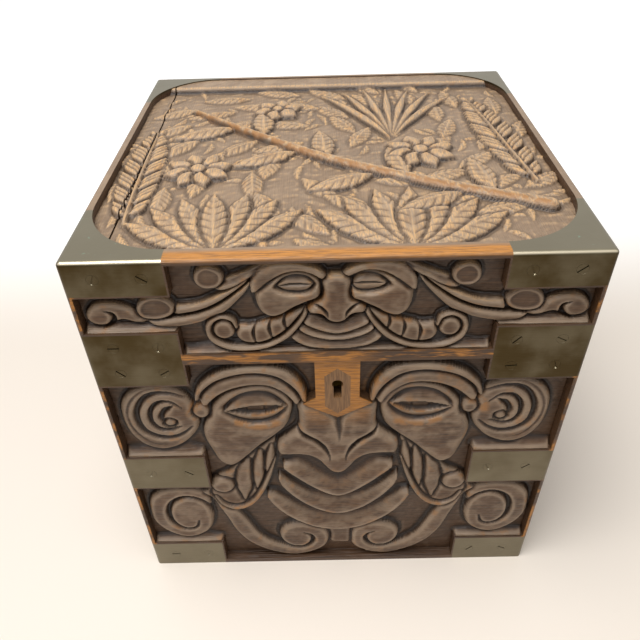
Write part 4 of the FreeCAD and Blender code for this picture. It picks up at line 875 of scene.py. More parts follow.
    def carve(self, relief: Relief) -> None:
        """Lay the mask from the ground outwards.

        Args:
            relief: Field that the forms are laid on.
        """
        self.ledges(relief)
        for hand in Hand:
            self.ears(relief, hand)
            self.scrolls(relief, hand)
        relief.swell(self.chin_block, height=3.4, shoulder=3)
        for top, bottom in self.mouth:
            relief.loft(whole(top), whole(bottom), self.lip_section)
        for hand in Hand:
            self.leaf_lock(relief, hand)
            self.eye(relief, hand)
        self.nose_and_nostrils(relief)

    def ledges(self, relief: Relief) -> None:
        """Sloping ground that is left over the straps.

        Args:
            relief: Field that the forms are laid on.
        """
        for side in (-1, 1):
            middle = side * (self.strap_end + self.reach) / 2
            ends = (middle - self.ledge_half, middle + self.ledge_half)
            for low, width in ((self.foot, 4), (self.mid[1], 6)):
                relief.ledge(*ends, low, width, height=6)

    def ears(self, relief: Relief, hand: Hand) -> None:
        """An ear of rings that wind in to a ball.

        Args:
            relief: Field that the forms are laid on.
            hand: Half of the face that they belong to.
        """
        half = relief.at(hand, self.ear_shift)
        half.swell(self.ear, height=4.9, shoulder=4.5, crown=0.5)
        for path, wide in zip(self.ear_grooves, self.ear_groove_halves):
            half.groove(path, wide * np.array((0.3, 1, 1, 1, 0.3)), depth=3.4)
        half.groove(self.ear_line, halves=(0.3, 1.1, 1.1, 0.3), depth=0.8)
        half.swell(self.ear_ball, height=4.9, shoulder=3.5)

    def scrolls(self, relief: Relief, hand: Hand) -> None:
        """The S-scroll that runs from the corner volute to the volute under the chin.

        Args:
            relief: Field that the forms are laid on.
            hand: Half of the face that they belong to.
        """
        corner = relief.at(hand, self.corner_shift)
        chin = relief.at(hand, self.chin_shift)
        corner.swell(self.corner, height=5.2, shoulder=3.5, crown=0.5)
        relief.at(hand).loft(self.scroll_outer, self.scroll_inner, self.scroll_section, over=False)
        corner.groove(self.corner_groove, halves=(0.6, 2.2, 2.6, 2.6, 2.4, 0.8), depth=4.2)
        chin.swell(self.chin_disc, height=5.4, shoulder=3.5, crown=0.4, over=False)
        chin.groove(self.chin_groove, halves=(0.6, 2.2, 2.4, 2.4, 2.2, 1.4), depth=4.0)

    def leaf_lock(self, relief: Relief, hand: Hand) -> None:
        """A lock of the beard as a folded leaf.

        Args:
            relief: Field that the forms are laid on.
            hand: Half of the face that they belong to.
        """
        half = relief.at(hand)
        half.swell(self.lock, height=4.0, shoulder=3.0)
        for path, wide in self.lock_lobes:
            half.ribbon(path, wide * np.array((0.4, 0.9, 1, 0.8, 0.25)), heights=(4.4, 5.4, 5.6, 5.2, 4.0))
        rim_heights = (4.8, 5.8, 6.0, 6.0, 5.8, 4.6)
        half.ribbon(self.lock_rim, halves=(0.9, 1.9, 2.2, 2.3, 2.2, 1.2), heights=rim_heights)
        half.gild(self.lock_rim[2:6], half=1.6)
        half.swell(circle(self.lock_ball, radius=8.4), height=5.6, shoulder=4.5, crown=0.4)

    def eye(self, relief: Relief, hand: Hand) -> None:
        """Cheek and eye socket, the eye with its lids, and the two rolls of the brow.

        Args:
            relief: Field that the forms are laid on.
            hand: Half of the face that they belong to.
        """
        relief.at(hand, self.cheek_shift).swell(self.cheek, height=6.2, shoulder=6.5, crown=0.6)
        relief.at(hand, self.socket_shift).dish(self.socket, depth=5.0, shoulder=9)
        half = relief.at(hand, self.eye_shift)
        half.loft(self.eye_upper, self.eye_lower, self.eye_section)
        half.dish(self.lid_edge + self.lower_lid[::-1], depth=3.2, shoulder=1.1)
        for across in self.iris:
            half.groove([(across, end) for end in self.iris_ends], halves=(0.7, 0.7), depth=0.8)
        half.gild(self.lower_lid[2:], half=1.3)
        brow = relief.at(hand, self.brow_shift)
        brow.loft(self.brow_outer, self.brow_parting, self.upper_brow_section)
        brow.loft(self.brow_parting, self.brow_inner, self.lower_brow_section)
        relief.at(hand, self.temple_shift).swell(self.temple, height=4.8, shoulder=3.2)
        for path in (self.temple[:3], self.brow_outer[-3:]):
            relief.at(hand).gild(path, half=4.0)
        relief.at(hand).gild(self.brow_parting[2:5], half=1.6)
        relief.at(hand).gild(self.socket[-3:], half=3.0)

    def nose_and_nostrils(self, relief: Relief) -> None:
        """The nose with its parted bridge, its wings and the slots of the nostrils.

        Args:
            relief: Field that the forms are laid on.
        """
        relief.swell(mirrored(self.nose), height=6.2, shoulder=5.5, crown=0.6)
        for hand in Hand:
            relief.at(hand).groove(self.nostril, halves=(1.2, 2.3, 2.2, 2.0, 1.0, 0.3), depth=4.2)
        relief.groove(self.bridge, halves=(4.6, 3.2, 1.6, 0.3), depth=3.4, sharp=True)


@dataclass
class CaseSide(CaseFront):
    """A side of the case: the front's scrolls round a fan of leaves and a blossom."""

    reach: float = 116.0
    strap_end: float = 78.0
    squeeze: float = 0.875
    fan_base: Point = (0.0, 56.0)
    fan: tuple[Pair, ...] = ((20, 62), (160, 62), (42, 72), (138, 72), (64, 70), (116, 70), (90, 74))
    crest_middle: Point = (0.0, 163.0)
    crest_leaves: tuple[Pair, ...] = ((-28, 12), (208, -12), (12, 12), (168, -12))
    stem: Outline = ((-6, 44), (-4, 24), (0, 18), (4, 24), (6, 44), (0, 50))

    def __post_init__(self) -> None:
        """Draw the front's scrolls in to this narrower face."""
        drawn = ("ear", "ear_ball", "ear_line", "scroll_outer", "scroll_inner", "corner", "corner_groove",
                 "chin_disc", "chin_groove")
        for name in drawn:
            setattr(self, name, squeezed(getattr(self, name), self.squeeze))
        self.ear_grooves = tuple(squeezed(path, self.squeeze) for path in self.ear_grooves)

    def holes(self) -> list[Area]:
        """This face has no plaque."""
        return []

    def carve(self, relief: Relief) -> None:
        """Lay the scrolls, then the leaves from the sides to the middle.

        Args:
            relief: Field that the forms are laid on.
        """
        self.ledges(relief)
        for hand in Hand:
            self.ears(relief, hand)
            self.scrolls(relief, hand)
        for angle, length in self.fan:
            leaf(relief, self.fan_base, angle, length, half=13, height=5.6, bend=(90 - angle) * 0.25)
        relief.swell(circle(self.fan_base, radius=10), height=6.2, shoulder=5)
        for angle, bend in self.crest_leaves:
            leaf(relief, self.crest_middle, angle, length=52, half=10, height=5.2, bend=bend)
        blossom(relief, self.crest_middle, radius=27, petals=8, height=6.2)
        relief.swell(self.stem, height=5.2, shoulder=3.5)


@dataclass
class LidFront(CarvedField):
    """The small mask of the lid's front, with the scrolls that run out from it."""

    reach: float = 132.0
    strap_end: float = 83.0
    low: float = 209.0
    high: float = 267.0
    open_band: Pair = (225.0, 248.5)
    step: float = 0.42
    end_scroll: Outline = (
        (-97, 230), (-101, 236.5), (-108, 241.5), (-117, 243.8), (-124.5, 242), (-129.3, 236.5),
        (-129, 231.5), (-124, 228.3), (-117, 229), (-111, 231.5), (-104, 229.5),
    )
    end_hook: Outline = ((-119, 238.5), (-115.4, 236.5), (-115, 233), (-117.5, 229.5), (-122, 227))
    upper_ribbon: tuple[Outline, Outline] = (
        ((-40, 262), (-46, 256), (-53, 251), (-61, 246.3), (-71, 242), (-85, 240.6)),
        ((-39, 259), (-45, 253.5), (-52, 247.8), (-61, 241.3), (-72, 236.5), (-86, 234)),
    )
    lower_ribbon: tuple[Outline, Outline] = (
        ((-39, 260), (-45, 253), (-52, 247), (-61, 240.4), (-72, 235.6), (-85, 233), (-93, 232.5)),
        (
            (-40.5, 255.5), (-45, 249), (-50, 243), (-57, 236), (-66, 230.8), (-76, 227.6), (-86, 226.2),
            (-94, 227.6), (-99, 231),
        ),
    )
    scroll_disc: Outline = (
        (-103, 237.5), (-101.3, 243), (-96.5, 246.6), (-90, 247.2), (-85, 244.8), (-82.3, 240.3),
        (-83.5, 235.8), (-88, 232.6), (-94.5, 231.5), (-100.5, 233),
    )
    upper_disc: Outline = (
        (-71, 257), (-69.3, 262), (-64.5, 265), (-59, 263.5), (-55.6, 259.5), (-56, 254.5), (-60, 250.8),
        (-66, 250.4), (-69.8, 253),
    )
    upper_tail: tuple[Outline, Outline] = (
        ((-58, 255.3), (-50, 258.4), (-42, 262), (-36, 265), (-29, 266.8)),
        ((-66, 250.4), (-58, 249.8), (-51, 252), (-44, 256.4), (-37, 260)),
    )
    moustache: Outline = (
        (-15.5, 235.5), (-20, 227.5), (-27, 219), (-37, 213), (-48, 210.9), (-58, 212), (-65.5, 217),
        (-67.6, 223.5), (-65.5, 229.5), (-60, 232.6), (-54.5, 230.5), (-52.6, 225.5),
    )
    curl: Point = (-59.5, 223.8)
    moustache_leaf: Outline = (
        (-15, 237.5), (-24, 235), (-31, 231.5), (-38, 229), (-45, 227), (-52, 227), (-54, 221),
        (-50, 215), (-40, 214), (-30, 219), (-22, 227),
    )
    leaf_cuts: tuple[Outline, ...] = (
        ((-25, 236), (-27.5, 230), (-26, 222)),
        ((-33, 232), (-35.5, 226), (-34, 217)),
        ((-41, 229.5), (-44, 223), (-43, 214)),
    )
    cheek: Outline = (
        (-41.5, 248), (-41, 240), (-38.5, 234.5), (-33.5, 231.8), (-28, 233.2), (-22, 237.2),
        (-15, 240.8), (-9, 243.5), (-7, 249), (-9, 256), (-19, 260), (-31, 257.5), (-39, 252),
    )
    socket: Outline = (
        (-32.5, 252), (-28, 257.5), (-20, 260), (-12.5, 258), (-8.5, 252.5), (-12.5, 247.3), (-20, 245.8),
        (-28, 247.5),
    )
    brow: tuple[Outline, Outline] = (
        (
            (-43.2, 249.5), (-43, 255), (-39.5, 261), (-33, 265.6), (-25, 266.9), (-16, 265.6),
            (-8.5, 262), (-4, 257.5),
        ),
        (
            (-40.5, 248.8), (-36.5, 252.2), (-31.5, 256.2), (-25.5, 259.6), (-18.5, 260.8), (-12.5, 259),
            (-8.2, 256), (-6, 253.5),
        ),
    )
    eye: tuple[Outline, Outline] = (
        ((-30, 252.3), (-26, 256.2), (-20.3, 257.4), (-14.8, 256), (-11.4, 252.8)),
        ((-30, 252.3), (-26, 249), (-20.3, 247.4), (-14.8, 248.8), (-11.4, 252.8)),
    )
    slit: Outline = ((-29, 252.2), (-24, 252.6), (-18, 252.6), (-12.3, 252.6))
    lip_section: tuple[Pair, ...] = ((0, 1.2), (0.4, 3.6), (0.75, 5.2), (0.92, 5.4), (1, 4.6))
    band_section: tuple[Pair, ...] = ((0, 2.6), (0.22, 5.0), (0.5, 5.2), (0.8, 4.4), (1, 2.6))
    tail_section: tuple[Pair, ...] = ((0, 3.2), (0.3, 3.6), (0.6, 4.8), (0.85, 5.0), (1, 3.0))
    eye_section: tuple[Pair, ...] = ((0, 1.6), (0.3, 4.2), (0.55, 4.8), (0.85, 4.2), (1, 1.8))
    brow_section: tuple[Pair, ...] = ((0, 3.6), (0.25, 5.8), (0.6, 6.0), (0.9, 5.2), (1, 3.6))
    scroll_shift: Point = (0.5, -0.5)
    disc_shift: Point = (3.0, 0.5)
    tail_shift: Point = (1.0, -1.2)
    moustache_shift: Point = (0.0, -1.0)
    cheek_shift: Point = (-2.5, -0.8)
    socket_shift: Point = (-3.5, 0.0)
    eye_shift: Point = (-5.0, 0.2)
    brow_shift: Point = (-3.0, 0.0)
    nose: Outline = (
        (0, 259), (-4.5, 258), (-7.6, 254), (-7.2, 248), (-8.2, 243.5), (-12, 241), (-15.3, 237.5),
        (-14.2, 233.8), (-8.5, 232.6), (-4.5, 228.6), (0, 227.2),
    )
    nostril: Outline = ((-12.5, 240), (-8.5, 239), (-5.4, 235.5), (-4.4, 231.5))
    mouth: tuple[tuple[Outline, Outline], ...] = (
        (((-24, 224), (-14, 219), (0, 216.8)), ((-26.5, 219.5), (-16, 212), (0, 209.9))),
        (((-20.5, 228), (-12, 223.5), (0, 221)), ((-22, 224.6), (-12.5, 218.6), (0, 216))),
        (
            ((-19.5, 233.6), (-14, 233), (-7.5, 229.6), (0, 227)),
            ((-20.5, 229.4), (-12.5, 224.6), (-6, 221.8), (0, 220.6)),
        ),
    )

    def areas(self) -> list[Area]:
        """The middle between the straps, and the stretch between them that reaches the edges."""
        middle = (-self.strap_end, self.strap_end, self.low, self.high)
        return [middle, (-self.reach, self.reach, *self.open_band)]

    def carve(self, relief: Relief) -> None:
        """Lay the scrolls, then the mask between them.

        Args:
            relief: Field that the forms are laid on.
        """
        self.ledges(relief)
        for hand in Hand:
            self.scrolls(relief, hand)
            self.upper_scroll(relief, hand)
        for top, bottom in self.mouth:
            relief.loft(whole(top), whole(bottom), self.lip_section)
        for hand in Hand:
            self.moustaches(relief, hand)
            self.face_half(relief, hand)
        relief.swell(mirrored(self.nose), height=6.0, shoulder=3.6, crown=0.6)
        for hand in Hand:
            relief.at(hand).groove(self.nostril, halves=(0.4, 1.3, 1.2, 0.3), depth=2.6)
            relief.at(hand).gild(self.nose[3:7], half=1.8)

    def ledges(self, relief: Relief) -> None:
        """Sloping ground that is left along the low edges.

        Args:
            relief: Field that the forms are laid on.
        """
        relief.ledge(-self.strap_end, self.strap_end, self.low, width=4.5, height=5.5)
        for side in (-1, 1):
            middle = side * (self.strap_end + self.reach) / 2
            ends = (middle - self.ledge_half, middle + self.ledge_half)
            relief.ledge(*ends, self.open_band[0], width=4.2, height=6)

    def scrolls(self, relief: Relief, hand: Hand) -> None:
        """The double band that winds round a disc, and the hooked scroll at its end.

        Args:
            relief: Field that the forms are laid on.
            hand: Half of the face that they belong to.
        """
        half = relief.at(hand, self.scroll_shift)
        half.swell(self.end_scroll, height=4.4, shoulder=3, crown=0.4)
        half.groove(self.end_hook, halves=(0.4, 1.6, 1.9, 1.6, 0.6), depth=4.2)
        for edges in (self.upper_ribbon, self.lower_ribbon):
            half.loft(*edges, self.band_section)
        disc = relief.at(hand, self.disc_shift)
        disc.swell(self.scroll_disc, height=5.0, shoulder=2.6)
        disc.dish(shrunk(self.scroll_disc, 0.86), depth=1.2, shoulder=2.4)

    def upper_scroll(self, relief: Relief, hand: Hand) -> None:
        """The lock that curls up beside the brow.

        Args:
            relief: Field that the forms are laid on.
            hand: Half of the face that they belong to.
        """
        half = relief.at(hand, self.tail_shift)
        half.loft(*self.upper_tail, self.tail_section)
        half.swell(self.upper_disc, height=5.0, shoulder=2.6)
        half.dish(shrunk(self.upper_disc, 0.84), depth=1.1, shoulder=2.2)

    def moustaches(self, relief: Relief, hand: Hand) -> None:
        """The leaf that springs from beside the mouth and curls round a disc.

        Args:
            relief: Field that the forms are laid on.
            hand: Half of the face that they belong to.
        """
        half = relief.at(hand, self.moustache_shift)
        half.swell(self.moustache_leaf, height=4.9, shoulder=3.2, crown=0.5)
        for path in self.leaf_cuts:
            half.groove(path, halves=(0.4, 1.3, 0.5), depth=2.2)
        half.swell(circle(self.curl, radius=6.6), height=4.6, shoulder=2.4)
        half.gild(self.moustache_leaf[1:4], half=2.4)
        band_heights = (5.2, 5.6, 5.6, 5.4, 5.2, 4.6)
        half.ribbon(self.moustache, halves=(1.6, 2.2, 2.3, 2.2, 1.9, 1.2), heights=band_heights)

    def face_half(self, relief: Relief, hand: Hand) -> None:
        """Half of the mask: cheek, eye and brow.

        Args:
            relief: Field that the forms are laid on.
            hand: Half of the face that they belong to.
        """
        relief.at(hand, self.cheek_shift).swell(self.cheek, height=5.6, shoulder=3.8, crown=0.8)
        relief.at(hand, self.socket_shift).dish(self.socket, depth=4.4, shoulder=4.6)
        half = relief.at(hand, self.eye_shift)
        half.loft(*self.eye, self.eye_section)
        half.groove(self.slit, halves=(0.3, 1.1, 1.1, 0.3), depth=1.7)
        relief.at(hand, self.brow_shift).loft(*self.brow, self.brow_section)


@dataclass
class LidSide(LidFront):
    """A side of the lid: the front's long scrolls on either hand of a blossom."""

    reach: float = 116.0
    strap_end: float = 78.0
    high: float = 261.5
    step: float = 0.5
    squeeze: float = 0.875
    middle: Point = (0.0, 236.0)

    def __post_init__(self) -> None:
        """Draw the front's scrolls in to this narrower face."""
        for name in ("end_scroll", "end_hook", "scroll_disc", "moustache", "moustache_leaf"):
            setattr(self, name, squeezed(getattr(self, name), self.squeeze))
        for name in ("upper_ribbon", "lower_ribbon", "leaf_cuts"):
            setattr(self, name, tuple(squeezed(path, self.squeeze) for path in getattr(self, name)))
        self.curl = squeezed([self.curl], self.squeeze)[0]

    def carve(self, relief: Relief) -> None:
        """Lay the scrolls, the leaves and the blossom.

        Args:
            relief: Field that the forms are laid on.
        """
        self.ledges(relief)
        for hand in Hand:
            self.scrolls(relief, hand)
            self.moustaches(relief, hand)
        for angle in (35, 145, -20, 200):
            leaf(relief, self.middle, angle, length=34, half=8, height=5.0)
        blossom(relief, self.middle, radius=21, petals=8, height=6.0)


@dataclass
class LidTop(CarvedField):
    """Part of the carved top, from left to right: ferns, leaves, reeds and blossoms over a gouged ground."""

    left: float = -116.2
    right: float = 130.0
    front: float = -119.5
    back: float = 125.0
    reach: float = 130.0
    corner: float = 46.0
    overlap: float = 1.2
    bank: float = 106.0
    field_depth: float = 5.5
    ground_depth: float = 5.0
    step: float = 0.8
    bough: Outline = ((117, -78), (59, -51), (0, -17), (-50, 24), (-94, 65))
    bough_leaves: tuple[tuple[Point, float], ...] = (
        ((91, -59), 100),
        ((44, -38), 100),
        ((-3, -13), 96),
        ((-44, 25), 94),
        ((72, -63), 206),
        ((23, -38), 206),
        ((-23, -5), 206),
        ((-65, 35), 202),
    )
    ferns: tuple[Outline, ...] = (
        ((-112, -88), (-114, -50), (-115, -10), (-116, 32)),
        ((117, -52), (112, -10), (107, 35), (101, 80)),
    )
    fans: tuple[tuple[Point, float, float], ...] = (((-61, -115), 96, 58), ((39, -116), 86, 62))
    bough_halves: tuple[float, ...] = (5.6, 5.0, 4.2, 3.2, 2.0)
    bough_heights: tuple[float, ...] = (4.6, 4.7, 4.6, 4.4, 3.6)
    reed_base: Point = (39, 15)
    reed_heading: float = 87.0
    blossoms: tuple[tuple[Point, float, int], ...] = (
        ((56, -7.5), 22, 8),
        ((-80.6, -27.5), 20.8, 8),
        ((-36.4, 65), 17, 6),
    )
    sprigs: int = 150
    whorl_leaves: int = 64
    whorl_turn: float = 137.5
    whorl_lean: float = 65.0
    whorl_reach: Pair = (126.1, 121.3)

    def areas(self) -> list[Area]:
        """This part's stretch of the top."""
        return [(self.left, self.right, self.front, self.back)]

    def trimmed(self, u: np.ndarray, v: np.ndarray) -> np.ndarray:
        """Cells within the round-cornered field, a little under the wood at the corners.

        Args:
            u: Places across.
            v: Places up.

        Returns:
            True for each cell that belongs.
        """
        middle = (self.front + self.back) / 2
        over_u = np.maximum(np.abs(u) - (self.reach - self.corner), 0)
        over_v = np.maximum(np.abs(v - middle) - ((self.back - self.front) / 2 - self.corner), 0)
        return np.hypot(over_u, over_v) < self.corner + self.overlap

    def carve(self, relief: Relief) -> None:
        """Lay the undergrowth and the plain bank at the back, then plants from back to front.

        Args:
            relief: Field that the forms are laid on.
        """
        relief.h += 0.3 * ripple(relief.u * 0.3, relief.v, size=5, seed=31)
        self.undergrowth(relief)
        relief.h = np.maximum(relief.h, 4.2 * np.clip((relief.v - self.bank) / 2.0, 0, 1))
        for spread in np.linspace(-25, 25, 7):
            leaf(relief, self.reed_base, self.reed_heading + spread, length=90, half=3.6, height=3.2,
                 bend=spread * 0.3, veins=0)
        for path in self.ferns:
            frond(relief, path, length=21, pairs=19, half=2.9, height=3.0)
        for base, heading, length in self.fans:
            for spread in sorted(np.linspace(-62, 62, 7), key=abs, reverse=True):
                leaf(relief, base, heading + spread, length, half=length * 0.15, height=4.0,
                     bend=-spread * 0.1, veins=8)
        for base, angle in self.bough_leaves:
            leaf(relief, base, angle, length=41, half=8.2, height=4.0, veins=7)
        relief.ribbon(self.bough, self.bough_halves, self.bough_heights, detail=self.bark)
        relief.gild([(x, y - 2.5) for x, y in self.bough], half=2.6)
        for middle, radius, petals in self.blossoms:
            blossom(relief, middle, radius, petals, height=4.4)

    def undergrowth(self, relief: Relief) -> None:
        """Leaves all over the ground: fine ones in seeded places, then a whorl at even density.

        Each leaf of the whorl lies a fixed turn on from the last, at a reach that grows with the
        square root of its number.

        Args:
            relief: Field that the forms are laid on.
        """
        draw = np.random.default_rng(19)
        for _ in range(self.sprigs):
            base = tuple(draw.uniform((-124, -116), (124, 100)))
            angle = draw.uniform(0, 360)
            length = draw.uniform(12, 22)
            leaf(relief, base, angle, length, half=2.6, height=1.0, bend=30, veins=4)
        for number in range(self.whorl_leaves):
            turn = number * self.whorl_turn
            away = np.sqrt((number + 0.5) / self.whorl_leaves)
            base = tuple(away * np.array(self.whorl_reach) * (cos(radians(turn)), sin(radians(turn))))
            heading = turn + self.whorl_lean
            leaf(relief, turned(base, 4.5, heading), heading, length=33, half=6.8, height=2.2, veins=7)

    @staticmethod
    def bark(along: np.ndarray, across: np.ndarray) -> np.ndarray:
        """Shallow cuts that wind round the bough."""
        return -0.5 * np.clip(np.cos(tau * (21 * along + 0.6 * across)), 0, 1) ** 4


def linear(code: str) -> tuple[float, float, float, float]:
    """Turn an sRGB hex colour into linear light with full alpha.

    Args:
        code: The hex colour.

    Returns:
        Red, green, blue and alpha.
    """
    parts = [int(code[place:place + 2], 16) / 255 for place in (1, 3, 5)]
    light = (part / 12.92 if part <= 0.04045 else ((part + 0.055) / 1.055) ** 2.4 for part in parts)
    return *light, 1.0


Tree = bpy.types.NodeTree
Socket = bpy.types.NodeSocket


def add(tree: Tree, kind: str, settings: dict | None = None, inputs: dict | None = None) -> bpy.types.Node:
    """Add a node to a tree.

    Args:
        tree: The tree.
        kind: The node's type.
        settings: Its settings by name.
        inputs: Its inputs by name or number, each a value or another node's output to link.

    Returns:
        The new node.
    """
    node = tree.nodes.new(kind)
    for name, value in (settings or {}).items():
        setattr(node, name, value)
    for place, value in (inputs or {}).items():
        if isinstance(value, Socket):
            tree.links.new(value, node.inputs[place])
        else:
            node.inputs[place].default_value = value
    return node


def patches(tree: Tree, where: Socket, sizes: Place, low: float, high: float,
            detail: float = 3.0) -> Socket:
    """Irregular patches from 0 to 1.

    Args:
        tree: Tree that they are added to.
        where: Coordinates in metres.
        sizes: Size of the patches along the three axes in millimetres.
        low: Noise value that gives 0.
        high: Noise value that gives 1.
        detail: Octaves of finer noise.

    Returns:
        The patches' socket.
    """
    scale = tuple(1 / (size * MM) for size in sizes)
    scaled = add(tree, "ShaderNodeMapping", None, {"Vector": where, "Scale": scale}).outputs[0]
    noise = add(tree, "ShaderNodeTexNoise", None, {"Vector": scaled, "Scale": 1.0, "Detail": detail})
    return add(tree, "ShaderNodeMapRange", SMOOTH, {0: noise.outputs[0], 1: low, 2: high}).outputs[0]


def near(tree: Tree, value: Socket, place: float, reach: float) -> Socket:
    """A mask that is 1 where a coordinate meets a place and falls to 0 at a reach from it.

    Args:
        tree: Tree that the nodes are added to.
        value: The coordinate.
        place: Place in millimetres.
        reach: Reach in millimetres.

    Returns:
        The mask's socket.
    """
    off = add(tree, "ShaderNodeMath", {"operation": "SUBTRACT"}, {0: value, 1: place * MM})
    size = add(tree, "ShaderNodeMath", {"operation": "ABSOLUTE"}, {0: off.outputs[0]})
    fade = {0: size.outputs[0], 1: reach * MM, 2: reach * MM * 0.35}
    return add(tree, "ShaderNodeMapRange", SMOOTH, fade).outputs[0]


def together(tree: Tree, operation: str, first: Socket, *others: Socket | float) -> Socket:
    """Join values one after another by an operation.

    Args:
        tree: Tree that the nodes are added to.
        operation: The operation's name.
        first: The first value.
        others: The values after it.

    Returns:
        The result's socket.
    """
    settings = {"operation": operation, "use_clamp": True}
    for other in others:
        first = add(tree, "ShaderNodeMath", settings, {0: first, 1: other}).outputs[0]
    return first


def painted(tree: Tree, ground: Socket | str, *layers: tuple[Socket | str | float, ...]) -> Socket:
    """Lay colours over one another.

    Args:
        tree: Tree that they are added to.
        ground: Lowest colour, a hex code or a socket.
        layers: Each a colour and the masks that are all 1 where it covers.

    Returns:
        The socket of the topmost colour.
    """
    for over, *masks in layers:
        factor = together(tree, "MULTIPLY", *masks)
        under, over = (linear(colour) if isinstance(colour, str) else colour for colour in (ground, over))
        mix = add(tree, "ShaderNodeMix", {"data_type": "RGBA"}, {0: factor, 6: under, 7: over})
        ground = mix.outputs[2]
    return ground


class Grain(Enum):
    """Direction that a board's fibres run in, as sizes of a fibre along the three axes in millimetres."""

    ACROSS = (26.0, 0.9, 0.9)
    DEEP = (0.9, 26.0, 0.9)


@dataclass(frozen=True, kw_only=True)
class Finish:
    """What every finish shares: a name, a gloss, and a skin with its strength and depth in millimetres."""

    name: str
    roughness: float = 0.36
    metallic: float = 0.0
    skin: Pair = (0.3, 0.4)

    def patterns(self, tree: Tree, place: Socket, normal: Socket) -> tuple[Socket, Socket]:
        """Colour and height of the skin."""
        raise NotImplementedError

    def build(self) -> bpy.types.Material:
        """Make the material.

        Returns:
            The material, with the finish's colour, gloss and skin.
        """
        material = bpy.data.materials.new(self.name)
        material.use_nodes = True
        tree = material.node_tree
        where = add(tree, "ShaderNodeTexCoord").outputs
        colour, height = self.patterns(tree, where["Object"], where["Normal"])
        strength, depth = self.skin
        shaping = {"Strength": strength, "Distance": depth * MM, "Height": height}
        shader = tree.nodes["Principled BSDF"].inputs
        shader["Metallic"].default_value = self.metallic
        shader["Roughness"].default_value = self.roughness
        tree.links.new(colour, shader["Base Color"])
        tree.links.new(add(tree, "ShaderNodeBump", None, shaping).outputs[0], shader["Normal"])
        return material


@dataclass(frozen=True, kw_only=True)
class StainedWood(Finish):
    """Old oak-like wood under dark stain: nearly black in the cuts with painted shade, grey where rubbed and
    painted with a highlight, gold where bare.
    """

    grain: Grain
    recess_shade: str = "#1c0e03"
    stain: str = "#38220f"
    middle: str = "#694a2f"
    rubbed: str = "#9a836b"
    sheen: str = "#b19b83"
    gold: str = "#9a6a38"
    bare: str = "#bb7b2d"
    dust_and_sheen: str = "#b79c7f"
    straw: str = "#dcae74"
    roughness: float = 0.46
    skin: Pair = (0.55, 0.7)

    def patterns(self, tree: Tree, place: Socket, normal: Socket) -> tuple[Socket, Socket]:
        """Colour from grain, worn edges, and painted shade and highlights that follow the carving; skin from
        fibres and tool marks.

        Args:
            tree: Tree that the nodes are added to.
            place: Object coordinates.
            normal: Normals of the piece.

        Returns:
            The colour and the height of the skin.
        """
        z = add(tree, "ShaderNodeSeparateXYZ", None, {0: place}).outputs[2]
        upward = add(tree, "ShaderNodeSeparateXYZ", None, {0: normal}).outputs[2]
        hollow, crease, crest, rise, gilt = (
            add(tree, "ShaderNodeAttribute", {"attribute_name": name}).outputs["Fac"]
            for name in ("hollow", "crease", "crest", "rise", "gilt")
        )
        fibres = patches(tree, place, self.grain.value, low=0.32, high=0.68, detail=4)
        blotches = patches(tree, place, sizes=(34, 34, 34), low=0.35, high=0.65)
        rubs = patches(tree, place, sizes=(14, 14, 9), low=0.42, high=0.66, detail=4)
        bright = patches(tree, place, sizes=(9, 9, 9), low=0.56, high=0.7)
        gilded = patches(tree, place, sizes=(5, 5, 5), low=0.34, high=0.54)
        streaks = patches(tree, place, sizes=(9, 0.7, 0.7), low=0.42, high=0.66, detail=4)
        tools = patches(tree, place, sizes=(5, 5, 5), low=0.2, high=0.8, detail=1)
        # Painted shade: the low ground between the forms is darkened towards the near-black shade colour
        low = together(tree, "SUBTRACT", 1.0, rise)
        # Dust and a painted sheen pale only the lid's upward faces, in its cuts less than on its crests
        facing = add(tree, "ShaderNodeMapRange", SMOOTH, {0: upward, 1: 0.5, 2: 0.95}).outputs[0]
        lit = together(tree, "MULTIPLY", facing, near(tree, z, place=270, reach=40))
        # Painted shade in the hollows and creases, weaker on the lid's top
        shade = together(tree, "SUBTRACT", 1.0, together(tree, "MULTIPLY", lit, 0.62))
        worn = painted(tree, self.bare, (self.stain, streaks, 0.5))
        # Painted highlight: the grey over the raised forms is rubbing and a painted highlight, and the pale
        # sheen on the crests is painted
        wood = painted(
            tree, self.stain, (self.middle, fibres, 0.75), (self.middle, blotches, 0.45),
            (self.rubbed, rise, rise, rubs, 0.6), (self.recess_shade, low, 0.3),
            (self.dust_and_sheen, lit, 0.42), (self.dust_and_sheen, lit, rubs, 0.2), (self.sheen, crest, 0.45),
            (self.gold, crest, bright, 0.55), (self.straw, crest, lit, fibres, 0.75),
            (self.gold, gilt, gilded, 0.85), (self.recess_shade, hollow, shade, 0.94),
            (self.recess_shade, crease, shade, 0.75), (worn, self.edges(tree, place)),
        )
        marks = (together(tree, "MULTIPLY", mark, 0.5) for mark in (fibres, tools))
        return wood, together(tree, "ADD", *marks)

    def edges(self, tree: Tree, place: Socket) -> Socket:
        """Mask of the outer edges that hands and time have rubbed bare.

        Args:
            tree: Tree that the nodes are added to.
            place: Object coordinates.

        Returns:
            The mask's socket.
        """
        x, y, z = add(tree, "ShaderNodeSeparateXYZ", None, {0: place}).outputs
        side = add(tree, "ShaderNodeMath", {"operation": "ABSOLUTE"}, {0: x}).outputs[0]
        flush = near(tree, y, place=-131, reach=2.2)
        seam_wear = patches(tree, place, sizes=(16, 6, 3), low=0.45, high=0.6)
        corner_wear = patches(tree, place, sizes=(6, 6, 10), low=0.42, high=0.58)
        # In order: the lid's front top edge, the seam, the front corners and the plaque of the keyhole
        places = (
            (near(tree, z, place=271.5, reach=3.6), near(tree, y, place=-127, reach=7)),
            (near(tree, z, place=206, reach=5), flush, seam_wear),
            (near(tree, side, place=134, reach=4), flush, corner_wear),
            (near(tree, x, place=0, reach=30), near(tree, z, place=180, reach=34), flush),
        )
        return together(tree, "MAXIMUM", *(together(tree, "MULTIPLY", *masks) for masks in places))


